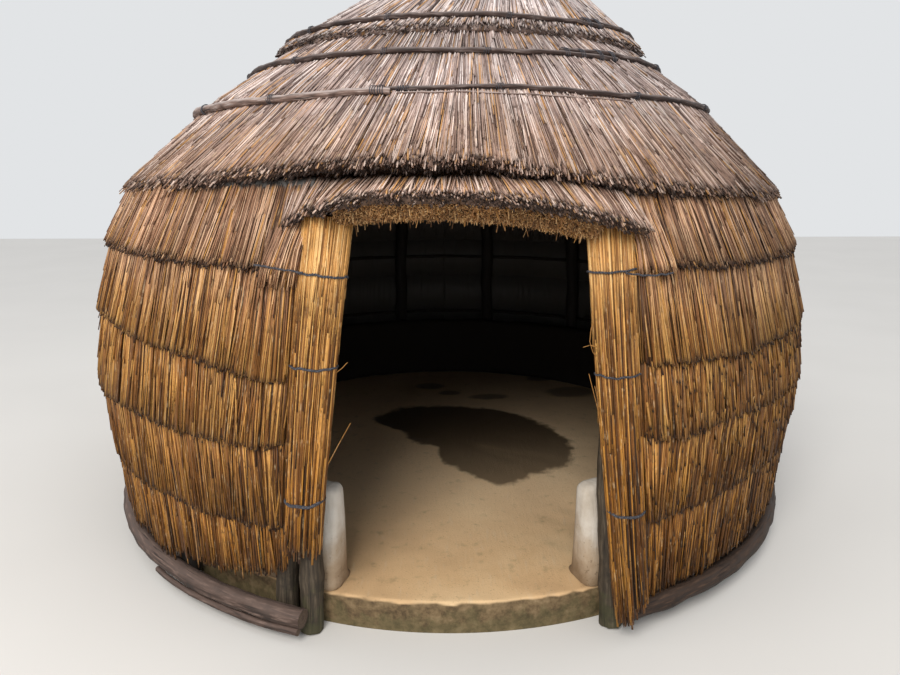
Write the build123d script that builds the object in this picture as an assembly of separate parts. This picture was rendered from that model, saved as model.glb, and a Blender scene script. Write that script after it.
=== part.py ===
from build123d import *
import os
from math import asin, atan2, cos, degrees, hypot, radians, sin, sqrt

# A round reed hut with a clay floor, a low clay wall, leaning posts and a thatched roof.
# Millimetres. The origin is on the ground at the middle of the floor, +Z is up, and
# the doorway faces -Y. An azimuth of 0 is the doorway, and +X is at 90 degrees.

# Clearance between pieces that lie on each other
clearance = 0.3

# Clay floor and low wall
floor_radius = 1545.0
floor_height = 120.0
floor_edge_round = 18.0
low_wall_height = 395.0
low_wall_thickness = 150.0
low_wall_top_round = 38.0
low_wall_inner_batter = 14.0
door_angle = 18.3
door_post_turn = 1.5
side_post_turn = 5.1
low_wall_end_turn = -1.0

# Posts, which lean in towards the roof
post_radius = 43.0
post_count = 14
plate_radius = 35.0

# Rails outside the posts, which the reeds are tied to
wall_rail_radius = 12.5
wall_rail_heights = [550.0, 985.0, 1300.0]
ground_rail_radius = 35.0
ground_rail_height = 95.0
ground_rail_end_angle = 1.0
ground_lath_radius = 13.0
ground_lath_offset = 22.0
ground_lath_arc = 26.0
ground_lath_end_angle = 1.5

# Reed courses of the wall, from the ground up: the height of the butts, how far they
# stand out from the rails, and how thick the course is there
course_butts = [
    (185.0, 26.0, 26.0),
    (440.0, 82.0, 30.0),
    (730.0, 142.0, 34.0),
    (1000.0, 146.0, 36.0),
    (1315.0, 114.0, 52.0),
]
course_overlap = 110.0
course_tip = 14.0
course_gap = 1.0

# Main roof course: the outer edge of its butts, its slope and its thickness
eave_radius = 1560.0
eave_height = 1633.0
roof_slope = 35.5
roof_thickness = 70.0
roof_top_radius = 740.0

# Cap over the top of the roof, whose peak leans to +X
cap_radius = 885.0
cap_thickness = 34.0
# Radius, rise above the cap's butts and drift of its shoulder, neck and peak
cap_shoulder = (508.0, 264.0, 132.0)
cap_neck = (207.0, 484.0, 157.0)
cap_peak = (100.0, 548.0, 165.0)
cap_lap = 60.0
cap_hollow_knee = (376.0, 234.0, 0.0)
cap_hollow_top = (115.0, 416.0, 0.0)

# Tied tuft on the peak
tuft_height = 120.0
tuft_foot_inset = 8.0
tuft_waist_height = 48.0
tuft_waist_radius = 62.0
tuft_top_radius = 95.0

# Rafters and the rings tied across them
rafter_radius = 25.0
rafter_count = 12
rafter_start_angle = 15.0
rafter_hub_radius = 100.0
rafter_hub_height = 64.0
roof_lath_radius = 10.0
roof_lath_places = [1300.0, 1050.0, 800.0]

# Sapling hoops that hold the roof thatch down: each is two saplings that overlap
hoop_radius = 14.0
hoop_places = [1240.0, 1000.0]
cap_hoop_place = 50.0
cap_hoop_spacing = 6.0
cap_hoop_clearance = 0.7
top_hoop_share = 0.42
hoop_overlap_angle = 9.0
hoop_start_angles = [-18.0, 12.0, -30.0]

# Reed bundles at the sides of the doorway, and their ties
jamb_bottom_heights = {"left": 370.0, "right": 135.0}
jamb_bottom_turns = {"left": 0.8, "right": 1.9}
jamb_top_turns = {"left": -2.9, "right": -1.4}
jamb_bottom_half_thickness = 42.0
jamb_top_half_thickness = 50.0
jamb_bottom_half_width = 62.0
jamb_top_half_width = 82.0
jamb_gap = 0.6
tie_heights = [530.0, 985.0, 1300.0]
tie_radius = 4.0

# Canopy of thatch over the doorway, which sags from its highest place to both ends,
# and the straw soffit below it
canopy_overhang = 130.0
canopy_tip_drop = 80.0
canopy_thickness = 42.0
canopy_high_azimuth = -5.0
canopy_sag = 0.21
canopy_spans = 4
soffit_inset = 35.0
soffit_end_gap = 4.0
soffit_lip_drop = 50.0
soffit_lip_step = 45.0
soffit_root_drop = 65.0


def ring(points, start, end):
    """Turns a closed outline of (radius, height) points from one azimuth to another."""
    outline = make_face(Polyline(*[(r, 0, z) for r, z in points], close=True))
    turned = revolve(outline, axis=Axis.Z, revolution_arc=end - start)
    return Rot(0, 0, start - 90) * turned


def pole_ring(radius, height, pole_radius, start=0.0, end=360.0):
    """Bends a round pole about the hut's axis, from one azimuth to another."""
    upright = Plane((radius, 0, height), x_dir=(1, 0, 0), z_dir=(0, -1, 0))
    bent = revolve(upright * Circle(pole_radius), axis=Axis.Z, revolution_arc=end - start)
    return Rot(0, 0, start - 90) * bent


def at_azimuth(radius, azimuth, height):
    turn = radians(azimuth)
    return Vector(radius * sin(turn), -radius * cos(turn), height)


def pole(start, end, radius):
    """A straight round pole from one point to another."""
    along = end - start
    return extrude(Plane(start, z_dir=along) * Circle(radius), amount=along.length)


def save(shape, name):
    export_step(shape, f"parts/{name}.step")


# Slopes and lines that several pieces share
back_seam = degrees(clearance / 2 / eave_radius)
slope = radians(roof_slope)
rise = sin(slope) / cos(slope)
rafter_depth = roof_thickness + 2 * roof_lath_radius + rafter_radius + clearance
plate_depth = rafter_depth + rafter_radius + plate_radius + clearance
plate_centre_radius = eave_radius - plate_depth * sin(slope)
plate_centre_height = eave_height - plate_depth * cos(slope)
post_top = plate_centre_height - plate_radius - clearance
side_share = floor_height / post_top
lean_guess = (floor_radius + post_radius - plate_centre_radius) / post_top
post_side = post_radius * sqrt(1 + lean_guess**2)
post_at_floor = floor_radius + clearance + post_side
post_base_radius = (post_at_floor - plate_centre_radius * side_share) / (1 - side_share)
lean = (post_base_radius - plate_centre_radius) / post_top


def post_centre(height):
    return post_base_radius - lean * height


def post_inner(height):
    return post_centre(height) - post_side


def post_outer(height):
    return post_centre(height) + post_side


def rail_centre(height):
    return post_outer(height) + wall_rail_radius * sqrt(1 + lean**2) + clearance


def reed_back(height):
    """Inner face of the wall reeds, just outside the rails."""
    return rail_centre(height) + wall_rail_radius * sqrt(1 + lean**2) + clearance


def under_roof(radius, depth):
    """Height of the line that lies a depth below the outer face of the main roof course."""
    return eave_height + (eave_radius - radius) * rise - depth / cos(slope)


def below_eave(depth):
    """The point a depth in from the eave's outer edge, square to the roof's slope."""
    return (eave_radius - depth * sin(slope), eave_height - depth * cos(slope))


def jamb_middle(height, side):
    """Centre, half width and half thickness of a door bundle at a height. The left bundle's
    centre is given as if it stood on the right."""
    low = min(jamb_bottom_heights.values())
    high = plate_centre_height
    share = (height - low) / (high - low)
    half = jamb_bottom_half_width + (jamb_top_half_width - jamb_bottom_half_width) * share
    thick = jamb_bottom_half_thickness + (jamb_top_half_thickness - jamb_bottom_half_thickness) * share
    low_radius = reed_back(low) + jamb_bottom_half_thickness + jamb_gap
    high_radius = reed_back(high) + jamb_top_half_thickness + jamb_gap
    bottom = at_azimuth(low_radius, door_angle + jamb_bottom_turns[side], low)
    top = at_azimuth(high_radius, door_angle + jamb_top_turns[side], high)
    return bottom + (top - bottom) * share, half, thick


def jamb_edge(height, side, outwards):
    """Turn from the doorway's middle to just beyond a door bundle's outer edge (outwards 1)
    or inner edge (-1)."""
    centre, half, thick = jamb_middle(height, side)
    turn = asin((half + course_gap) / hypot(centre.X, centre.Y))
    return degrees(atan2(centre.X, -centre.Y) + outwards * turn)


# Floor and low wall
def floor_slab():
    slab = Pos(0, 0, floor_height / 2) * Cylinder(floor_radius, floor_height)
    rim = slab.edges().filter_by(GeomType.CIRCLE).sort_by(Axis.Z)[-1]
    return fillet(rim, floor_edge_round)


def low_wall(start, end):
    top = floor_height + low_wall_height
    foot = floor_height + clearance
    inner = floor_radius - low_wall_thickness
    outer_foot = post_inner(floor_height) - clearance
    outer_top = post_inner(top) - clearance
    shoulder = top - low_wall_top_round
    outer_shoulder = post_inner(shoulder) - clearance
    points = [
        (inner, foot),
        (outer_foot - floor_edge_round, foot),
        (outer_foot - lean * floor_edge_round, foot + floor_edge_round),
        (outer_shoulder, shoulder),
        (outer_top - low_wall_top_round, top),
        (inner + low_wall_inner_batter + low_wall_top_round, top),
        (inner + low_wall_inner_batter, shoulder),
    ]
    return ring(points, start, end)


# Posts and rails
def post(azimuth):
    """A leaning post, cut level at the ground and just below the wall plate."""
    low = at_azimuth(post_centre(-post_radius), azimuth, -post_radius)
    high = at_azimuth(post_centre(post_top + post_radius), azimuth, post_top + post_radius)
    above_ground = split(pole(low, high, post_radius), bisect_by=Plane.XY)
    return split(above_ground, bisect_by=Plane.XY.offset(post_top), keep=Keep.BOTTOM)


def wall_post_azimuths():
    step = (360 - 2 * door_angle) / (post_count - 1)
    return [door_angle + step * n for n in range(1, post_count - 1)]


def wall_rail(height):
    return pole_ring(rail_centre(height), height, wall_rail_radius, door_angle, 360 - door_angle)


def ground_rail_centre():
    return post_outer(ground_rail_height) + ground_rail_radius * sqrt(1 + lean**2) + clearance


def ground_rail(side):
    ends = (door_angle + ground_rail_end_angle, 180 - back_seam)
    if side == "left":
        ends = (360 - ends[1], 360 - ends[0])
    return pole_ring(ground_rail_centre(), ground_rail_height, ground_rail_radius, *ends)


def ground_lath():
    """A thin lath below the left ground rail and a little outside it."""
    apart = ground_rail_radius + ground_lath_radius + clearance
    height = ground_rail_height - sqrt(apart**2 - ground_lath_offset**2)
    end = 360 - door_angle - ground_lath_end_angle
    radius = ground_rail_centre() + ground_lath_offset
    return pole_ring(radius, height, ground_lath_radius, end - ground_lath_arc, end)


# Reed courses of the wall
def course_points(number):
    """Outline of a course: it hangs over the one below and passes under the one above."""
    foot, depth, thickness = course_butts[number]
    outer = reed_back(foot) + depth
    points = []
    if number == 0:
        points.append((reed_back(foot), foot))
    else:
        tuck = foot + course_overlap
        points.append((reed_back(tuck), tuck + clearance))
        points.append((reed_back(tuck) + course_tip, tuck + clearance))
        points.append((outer - thickness + clearance, foot))
    points.append((outer, foot))
    if number + 1 < len(course_butts):
        next_foot, next_depth, next_thickness = course_butts[number + 1]
        points.append((reed_back(next_foot) + next_depth - next_thickness, next_foot))
        end = next_foot + course_overlap
        points.append((reed_back(end) + course_tip - clearance, end))
        points.append((reed_back(end), end))
    else:
        points += head_points()
    return points


def head_points():
    """Where the top course passes under the eave, to the outside of the wall plate."""
    depth = roof_thickness + clearance
    front = plate_centre_radius + plate_radius + clearance
    return [
        below_eave(depth),
        (front, under_roof(front, depth)),
        (front, plate_centre_height),
        (reed_back(plate_centre_height), plate_centre_height),
    ]


def wall_course(number, side):
    end = jamb_edge(course_butts[number][0], side, 1)
    if side == "right":
        return ring(course_points(number), end, 180 - back_seam)
    return ring(course_points(number), 180 + back_seam, 360 - end)


# Doorway: reed bundles, ties, canopy and soffit
def jamb_plane(height, side):
    """Level plane at a bundle's centre, whose x runs along the wall and whose y runs inwards."""
    centre, half, thick = jamb_middle(height, side)
    turn = door_angle + (jamb_bottom_turns[side] + jamb_top_turns[side]) / 2
    if side == "left":
        centre = Vector(-centre.X, centre.Y, centre.Z)
        turn = -turn
    return Plane(centre, x_dir=at_azimuth(1, turn + 90, 0), z_dir=(0, 0, 1))


def jamb_section(height, side, grow=0.0):
    centre, half, thick = jamb_middle(height, side)
    return jamb_plane(height, side) * Ellipse(half + grow, thick + grow)


def jamb_length(bottom, top, side, grow=0.0):
    return loft([jamb_section(bottom, side, grow), jamb_section(top, side, grow)], ruled=True)


def door_jamb(side):
    """A bundle from its own foot up to the canopy's underside."""
    tall = jamb_length(jamb_bottom_heights[side], eave_height, side)
    return tall - canopy_shell(above_canopy_underside)


def jamb_ties(side):
    """Three bands round the front and sides of a bundle, which stop short of its back."""
    bands = []
    for height in tie_heights:
        low = height - tie_radius
        high = height + tie_radius
        bundle = jamb_length(low, high, side, clearance)
        band = jamb_length(low, high, side, clearance + tie_radius) - bundle
        half = jamb_middle(height, side)[1]
        front = jamb_plane(height, side) * Pos(0, -half, 0) * Box(4 * half, 2 * half, 8 * tie_radius)
        bands.append(band & front)
    return Compound(children=[solid for band in bands for solid in band.solids()])


def canopy_azimuths():
    start = -jamb_edge(course_butts[-1][0], "left", 1)
    step = (jamb_edge(course_butts[-1][0], "right", 1) - start) / canopy_spans
    return [start + step * n for n in range(canopy_spans + 1)]


def canopy_corners(azimuth):
    """The canopy's corners at an azimuth: below the eave, tip, butt, and root at the plate."""
    edge = below_eave(roof_thickness + clearance)
    sag = canopy_sag * (azimuth - canopy_high_azimuth) ** 2
    tip = (eave_radius + canopy_overhang, eave_height - canopy_tip_drop - sag)
    fall = atan2(edge[1] - tip[1], tip[0] - edge[0])
    butt = (tip[0] - canopy_thickness * sin(fall), tip[1] - canopy_thickness * cos(fall))
    start, end = canopy_azimuths()[0], canopy_azimuths()[-1]
    half_step = radians((end - start) / 2 / canopy_spans)
    front = (plate_centre_radius + plate_radius + clearance) / cos(half_step)
    root = (front, butt[1] + (butt[0] - front) * sin(fall) / cos(fall))
    return edge, tip, butt, root


def canopy_outline(azimuth):
    edge, tip, butt, root = canopy_corners(azimuth)
    return [edge, tip, butt, root, (root[0], max(edge[1], root[1] + clearance))]


def above_canopy_underside(azimuth):
    """Outline from just below the canopy up past the eave, for cutting what meets it."""
    edge, tip, butt, root = canopy_corners(azimuth)
    high = 2 * eave_height
    return [(butt[0], butt[1] - clearance), (butt[0], high), (root[0], high), (root[0], root[1] - clearance)]


def soffit_outline(azimuth):
    edge, tip, butt, root = canopy_corners(azimuth)
    reach = eave_radius + canopy_overhang - soffit_inset
    lip = butt[1] + (root[1] - butt[1]) * (butt[0] - reach) / (butt[0] - root[0])
    return [
        (reach, lip - clearance),
        (reach - soffit_lip_step, lip - soffit_lip_drop),
        (root[0], root[1] - soffit_root_drop),
        (root[0], root[1] - clearance),
    ]


def canopy_shell(outline):
    """Straight lengths between upright outlines that stand round the doorway's head."""
    faces = []
    for azimuth in canopy_azimuths():
        corners = [at_azimuth(r, azimuth, z) for r, z in outline(azimuth)]
        faces.append(make_face(Polyline(*corners, close=True)))
    return loft(faces, ruled=True)


def door_canopy():
    """A thick lip: its top runs out from below the eave, and its butts face out."""
    return canopy_shell(canopy_outline)


def door_soffit():
    """Short straw under the canopy, between the two door bundles."""
    gap = degrees(soffit_end_gap / eave_radius)
    start = gap - jamb_edge(plate_centre_height, "left", -1)
    end = jamb_edge(plate_centre_height, "right", -1) - gap
    high = 2 * eave_height
    between = ring([(roof_top_radius, 0), (high, 0), (high, high), (roof_top_radius, high)], start, end)
    return canopy_shell(soffit_outline) & between


# Roof
def roof_course(side):
    inner_eave = below_eave(roof_thickness)
    points = [
        (eave_radius, eave_height),
        (roof_top_radius, under_roof(roof_top_radius, 0)),
        (roof_top_radius, under_roof(roof_top_radius, roof_thickness)),
        inner_eave,
    ]
    if side == "right":
        return ring(points, back_seam, 180 - back_seam)
    return ring(points, 180 + back_seam, 360 - back_seam)


def round_section(radius, height, offset):
    return Plane((offset, 0, height)) * Circle(radius)


def on_roof(place):
    """Radius, height and drift of one of the cap's rings, from its rise above the butts."""
    radius, rise_above, drift = place
    return radius, cap_butt()[0][1] + rise_above, drift


def cap_butt():
    """Outer upper corner of the cap's butts, and the point below it on the main course."""
    foot = cap_radius - cap_thickness * sin(slope)
    return (cap_radius, under_roof(foot, 0) + cap_thickness * cos(slope)), (foot, under_roof(foot, 0))


def roof_cap():
    """Cap of thatch: cones between round sections, whose centres drift towards the peak."""
    outer, inner = cap_butt()
    body = loft([
        round_section(inner[0], inner[1], 0),
        round_section(outer[0], outer[1], 0),
        round_section(*on_roof(cap_shoulder)),
        round_section(*on_roof(cap_neck)),
        round_section(*on_roof(cap_peak)),
    ], ruled=True)
    lift = clearance / cos(slope)
    foot_radius = inner[0] + cap_lap
    hollow = loft([
        round_section(foot_radius, under_roof(foot_radius, 0) + lift, 0),
        round_section(roof_top_radius, under_roof(roof_top_radius, 0) + lift, 0),
        round_section(*on_roof(cap_hollow_knee)),
        round_section(*on_roof(cap_hollow_top)),
    ], ruled=True)
    return body - hollow


def roof_tuft():
    radius, height, offset = on_roof(cap_peak)
    waist = height + tuft_waist_height
    return loft([
        round_section(radius - tuft_foot_inset, height + clearance, offset),
        round_section(tuft_waist_radius, waist - 2 * tie_radius, offset),
        round_section(tuft_waist_radius, waist + 2 * tie_radius, offset),
        round_section(tuft_top_radius, height + tuft_height, offset),
    ], ruled=True)


def tuft_tie():
    height, offset = on_roof(cap_peak)[1:]
    around = tuft_waist_radius + tie_radius + clearance
    return Pos(offset, 0, 0) * pole_ring(around, height + tuft_waist_height, tie_radius)


# Rafters
def rafter(azimuth):
    plate_outer = plate_centre_radius + plate_radius
    low = at_azimuth(eave_radius, azimuth, under_roof(eave_radius, rafter_depth))
    high = at_azimuth(rafter_radius, azimuth, under_roof(rafter_radius, rafter_depth))
    hub = Pos(0, 0, high.Z) * Cylinder(rafter_hub_radius + clearance, high.Z)
    return (pole(low, high, rafter_radius) & Cylinder(plate_outer, 3 * high.Z)) - hub


def rafter_hub():
    middle = under_roof(rafter_hub_radius, rafter_depth)
    return Pos(0, 0, middle) * Cylinder(rafter_hub_radius, rafter_hub_height)


def roof_lath(place):
    depth = roof_thickness + roof_lath_radius + clearance / 2
    return pole_ring(place, under_roof(place, depth), roof_lath_radius)


# Hoops on the roof
def sapling(radius, height, number, side):
    """Half a hoop and the overlap at its end."""
    start = hoop_start_angles[number] + (0 if side == "right" else 180)
    return pole_ring(radius, height, hoop_radius, start - hoop_overlap_angle, start + 180)


def hoop(number, side):
    """One sapling of a hoop. The right one lies just uphill of the left one."""
    uphill = 2 * hoop_radius + clearance if side == "right" else 0
    place = hoop_places[number] - uphill * cos(slope)
    off = hoop_radius + clearance
    return sapling(place + off * sin(slope), under_roof(place, 0) + off * cos(slope), number, side)


def on_cap(low, high, share):
    """Radius, height and sideways drift of a ring that lies on one of the cap's cones."""
    radius, height, drift = [a + (b - a) * share for a, b in zip(low, high)]
    tilt = atan2(high[1] - low[1], low[0] - high[0])
    off = hoop_radius + cap_hoop_clearance
    return radius + off * sin(tilt), height + off * cos(tilt), drift


def cap_hoop(side):
    """Sapling near the cap's edge. It follows the cap, which drifts towards +X."""
    low = (*cap_butt()[0], 0)
    shoulder = on_roof(cap_shoulder)
    length = hypot(low[0] - shoulder[0], shoulder[1] - low[1])
    uphill = cap_hoop_place + (2 * hoop_radius + cap_hoop_spacing if side == "right" else 0)
    radius, height, drift = on_cap(low, shoulder, uphill / length)
    return Pos(drift, 0, 0) * sapling(radius, height, 2, side)


def top_hoop():
    """The highest hoop, a full ring round the cap between its shoulder and its neck."""
    radius, height, drift = on_cap(on_roof(cap_shoulder), on_roof(cap_neck), top_hoop_share)
    return Pos(drift, 0, 0) * pole_ring(radius, height, hoop_radius)


def main():
    os.makedirs("parts", exist_ok=True)
    save(floor_slab(), "floor_slab")
    low_wall_end = door_angle + low_wall_end_turn
    third = (360 - 2 * low_wall_end) / 3
    for number, name in enumerate(["right", "back", "left"]):
        start = low_wall_end + third * number
        save(low_wall(start, start + third - back_seam), f"low_wall_{name}")

    save(post(door_angle + door_post_turn), "door_post_right")
    save(post(-door_angle - door_post_turn), "door_post_left")
    azimuths = wall_post_azimuths()
    save(Compound(children=[post(a) for a in azimuths if a < 180]), "wall_posts_right")
    left_azimuths = [a for a in azimuths if a >= 180] + [360 - door_angle - side_post_turn]
    save(Compound(children=[post(a) for a in left_azimuths]), "wall_posts_left")
    save(pole_ring(plate_centre_radius, plate_centre_height, plate_radius), "wall_plate")
    for height, name in zip(wall_rail_heights, ["low", "middle", "high"]):
        save(wall_rail(height), f"wall_rail_{name}")
    save(ground_lath(), "ground_lath")

    for number in range(len(course_butts)):
        for side in ("left", "right"):
            save(wall_course(number, side), f"wall_course_{number + 1}_{side}")

    for side in ("left", "right"):
        save(ground_rail(side), f"ground_rail_{side}")
        save(door_jamb(side), f"door_jamb_{side}")
        save(jamb_ties(side), f"jamb_ties_{side}")
        save(roof_course(side), f"roof_course_{side}")
    save(door_canopy(), "door_canopy")
    save(door_soffit(), "door_soffit")
    save(roof_cap(), "roof_cap")
    save(roof_tuft(), "roof_tuft")
    save(tuft_tie(), "tuft_tie")

    right = [rafter_start_angle + 360 / rafter_count * n for n in range(rafter_count // 2)]
    save(Compound(children=[rafter(azimuth) for azimuth in right]), "rafters_right")
    save(Compound(children=[rafter(-azimuth) for azimuth in right]), "rafters_left")
    save(rafter_hub(), "rafter_hub")
    for number, place in enumerate(roof_lath_places):
        save(roof_lath(place), f"roof_lath_{number + 1}")

    for side in ("left", "right"):
        for number in range(len(hoop_places)):
            save(hoop(number, side), f"roof_hoop_{number + 1}_{side}")
        save(cap_hoop(side), f"roof_hoop_3_{side}")
    save(top_hoop(), "roof_hoop_4")


main()
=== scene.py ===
import math

import bpy
import numpy as np
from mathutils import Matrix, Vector


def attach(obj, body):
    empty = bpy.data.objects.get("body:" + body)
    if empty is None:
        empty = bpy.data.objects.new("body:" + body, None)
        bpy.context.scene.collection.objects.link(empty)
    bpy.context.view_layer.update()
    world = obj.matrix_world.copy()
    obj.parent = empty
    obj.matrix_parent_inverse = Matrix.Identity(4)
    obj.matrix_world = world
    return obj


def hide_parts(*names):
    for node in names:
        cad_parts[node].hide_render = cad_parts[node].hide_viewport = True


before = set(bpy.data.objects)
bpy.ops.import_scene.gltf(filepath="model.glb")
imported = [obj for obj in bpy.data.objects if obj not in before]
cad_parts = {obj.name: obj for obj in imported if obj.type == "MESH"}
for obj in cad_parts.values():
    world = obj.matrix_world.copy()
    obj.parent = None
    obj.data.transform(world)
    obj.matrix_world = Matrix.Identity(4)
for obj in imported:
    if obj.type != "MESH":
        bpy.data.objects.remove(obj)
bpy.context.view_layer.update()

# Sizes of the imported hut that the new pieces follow, in metres and degrees. A turn of 0
# is the doorway, which faces -Y, and +X is at 90.
GAP = 0.0003
LEAN = 0.0987
REED_BACK = 1.6704
POST_MIDDLE = 1.6015
POST_RADIUS = 0.043
POST_TOP = 1.4547
POST_COUNT = 14
DOOR_ANGLE = 18.3
DOOR_POST = 19.8
SIDE_POST = 23.4
LOW_WALL_END = 17.3
# Radius and height of the door bundles' middles at foot and head, and there also their half
# widths and half thicknesses
JAMB_FOOT = (1.6997, 0.135)
JAMB_HEAD = (1.5739, 1.4901)
JAMB_HALVES = (0.062, 0.082)
JAMB_DEPTHS = (0.042, 0.050)
# Height at which the lowest tie draws a bundle in, by how much, and how softly
JAMB_WAIST = (0.53, 0.007, 0.07)
# Turn of the door bundles at foot and head against the door's angle, and their bow outwards
JAMB_TURNS = {"left": (0.8, -2.9, 0.016), "right": (1.9, -1.4, -0.002)}
FLOOR_RADIUS = 1.545
FLOOR_HEIGHT = 0.12
PLATE = (1.4583, 1.4901)
PLATE_RADIUS = 0.035
RAIL_HEIGHTS = {"low": 0.550, "middle": 0.985, "high": 1.300}
RAIL_RADIUS = 0.0125
RISE = 0.7133
SLOPE = math.radians(35.5)
EAVE = (1.560, 1.633)
ROOF_DEPTH = 0.070
EAVE_DEPTH = 0.052
ROOF_TOP = 0.740
# Depths below the roof's face at which the laths and the rafters have their middles
LATH_DEPTH = 0.08015
RAFTER_DEPTH = 0.1153
HUB_RADIUS = 0.100
# Height, outer radius and visible thickness of each wall course at its butts, and the ring
# that its outer face reaches under the course above
COURSES = (
    ((0.185, 1.6781, 0.026), (1.6950, 0.440)),
    ((0.440, 1.7090, 0.015), (1.7243, 0.730)),
    ((0.730, 1.7403, 0.017), (1.7010, 1.000)),
    ((1.000, 1.7177, 0.018), (1.6330, 1.315)),
    ((1.315, 1.6546, 0.023), (1.5192, 1.5758)),
)
OVERLAP = 0.110
TIP = 0.014
# Radius, height and drift to +X of the cap's butts, shoulder, neck and peak
CAP = np.array([
    (0.885, 2.1562, 0.046),
    (0.508, 2.4202, 0.142),
    (0.207, 2.6402, 0.162),
    (0.100, 2.7042, 0.165),
])
CAP_DEPTH = 0.034
STALK = 0.0026
# The way that x goes on each side of the doorway
SIDES = {"left": -1, "right": 1}


def rgb(red, green, blue):
    """Display colour from 0 to 255 as the linear colour that shaders use."""
    shown = np.array([red, green, blue]) / 255
    linear = np.where(shown <= 0.04045, shown / 12.92, ((shown + 0.055) / 1.055) ** 2.4)
    return (*linear, 1.0)


def around(radius, turn, height):
    """Points at a radius and a height, turned about the hut's axis."""
    angle = np.radians(turn)
    radius, height = np.broadcast_arrays(radius, height)
    return np.stack([radius * np.sin(angle), -radius * np.cos(angle), height + 0 * angle], -1)


def reed_back(height):
    """Inner face of the wall reeds, which leans in as it goes up."""
    return REED_BACK - LEAN * height


def under_roof(radius, depth=0.0):
    """Height at a radius of the line that lies a depth below the roof's face, square to it."""
    return EAVE[1] + (EAVE[0] - radius) * RISE - depth / math.cos(SLOPE)


def up_roof(radius):
    """Way up the roof's face from the eave to a radius."""
    return (EAVE[0] - radius) / math.cos(SLOPE)


def wander(place, pitch, rng, waves=6):
    """Smooth wandering about nought: a sum of sines whose lengths lie round pitch."""
    lengths = pitch * np.exp(rng.uniform(-0.8, 0.8, waves))
    starts = rng.uniform(0, 2 * np.pi, waves)
    return np.sin(2 * np.pi * place[..., None] / lengths + starts).sum(-1) / np.sqrt(waves / 2)


def unit(vectors):
    """Vectors at a length of 1."""
    return vectors / np.maximum(np.linalg.norm(vectors, axis=-1, keepdims=True), 1e-12)


def metres_along(line):
    """Way along a line to each of its points."""
    return np.concatenate([[0.0], np.cumsum(np.linalg.norm(np.diff(line, axis=0), axis=1))])


# Surfaces
class Shape:
    """Corners, marks and faces of several surfaces, gathered for one mesh."""

    def __init__(self):
        self.points, self.marks, self.loops, self.sizes = [], [], [], []
        self.count = 0

    def add_tubes(self, corners, marks=0.0, closed=False):
        """Tubes from an array (tubes, rings, sides, 3): each ring is joined to the next by
        a band of four-sided faces, and the ends have a face each unless a tube is closed."""
        tubes, rings, sides = corners.shape[:3]
        ring = np.arange(rings if closed else rings - 1)[:, None]
        side = np.arange(sides)[None, :]
        after, above = (side + 1) % sides, (ring + 1) % rings
        band = [ring * sides + side, ring * sides + after, above * sides + after, above * sides + side]
        loops, sizes = np.stack(band, -1).ravel(), np.full(ring.size * sides, 4)
        if not closed:
            loops = np.concatenate([loops, np.arange(sides)[::-1], (rings - 1) * sides + np.arange(sides)])
            sizes = np.concatenate([sizes, [sides, sides]])
        first = self.count + np.arange(tubes)[:, None] * rings * sides
        self.points.append(corners.reshape(-1, 3))
        self.marks.append(np.broadcast_to(marks, corners.shape).reshape(-1, 3))
        self.loops.append((loops + first).ravel())
        self.sizes.append(np.tile(sizes, tubes))
        self.count += corners.size // 3

    def build(self, name, finish, slot, *replaced, grain=False):
        """Makes the mesh. Poles, cords and clay are smooth, and their marks are named grain."""
        points = np.concatenate(self.points)
        loops, sizes = np.concatenate(self.loops), np.concatenate(self.sizes)
        starts = np.concatenate([[0], np.cumsum(sizes)[:-1]])
        mesh = bpy.data.meshes.new(name)
        mesh.vertices.add(len(points))
        mesh.vertices.foreach_set("co", points.astype(np.float32).ravel())
        mesh.loops.add(len(loops))
        mesh.loops.foreach_set("vertex_index", loops.astype(np.int32))
        mesh.polygons.add(len(sizes))
        mesh.polygons.foreach_set("loop_start", starts.astype(np.int32))
        mesh.update(calc_edges=True)
        data = mesh.attributes.new("grain" if grain else "stalk", "FLOAT_VECTOR", "POINT")
        data.data.foreach_set("vector", np.concatenate(self.marks).astype(np.float32).ravel())
        mesh.materials.append(finish)
        if grain:
            mesh.shade_smooth()
            mesh.set_sharp_from_angle(angle=math.radians(50))
        piece = bpy.data.objects.new(name, mesh)
        bpy.context.scene.collection.objects.link(piece)
        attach(piece, "root")
        if replaced:
            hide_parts(*replaced)


def stalk_marks(size, tone=0.0, from_butt=0.0, dark_butt_and_shade=0.0):
    """Marks of an array of corners: a stalk's tone, the way from its butt and how dark that is,
    as a dark cut end and painted shade.
    """
    return np.stack([np.broadcast_to(part, size) for part in (tone, from_butt, dark_butt_and_shade)], -1)


def crosswise(line, out):
    """Two directions square to a line, the first on the side that out points to."""
    axis = unit(np.gradient(line, axis=-2))
    first = unit(out - (out * axis).sum(-1, keepdims=True) * axis)
    return first, np.cross(axis, first)


def ring_corners(line, out, radius, sides, roll=0.0):
    """Corners of tubes about lines (tubes, rings, 3): equal turns round each ring's middle,
    in the plane square to the line, from the side that out points to."""
    first, second = crosswise(line, out)
    angle = np.asarray(roll)[..., None, None] + np.arange(sides) * 2 * np.pi / sides
    angle = np.broadcast_to(angle, (*line.shape[:2], sides))[..., None]
    spokes = np.cos(angle) * first[:, :, None] + np.sin(angle) * second[:, :, None]
    return line[:, :, None] + np.broadcast_to(radius, angle.shape[:3])[..., None] * spokes


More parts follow.
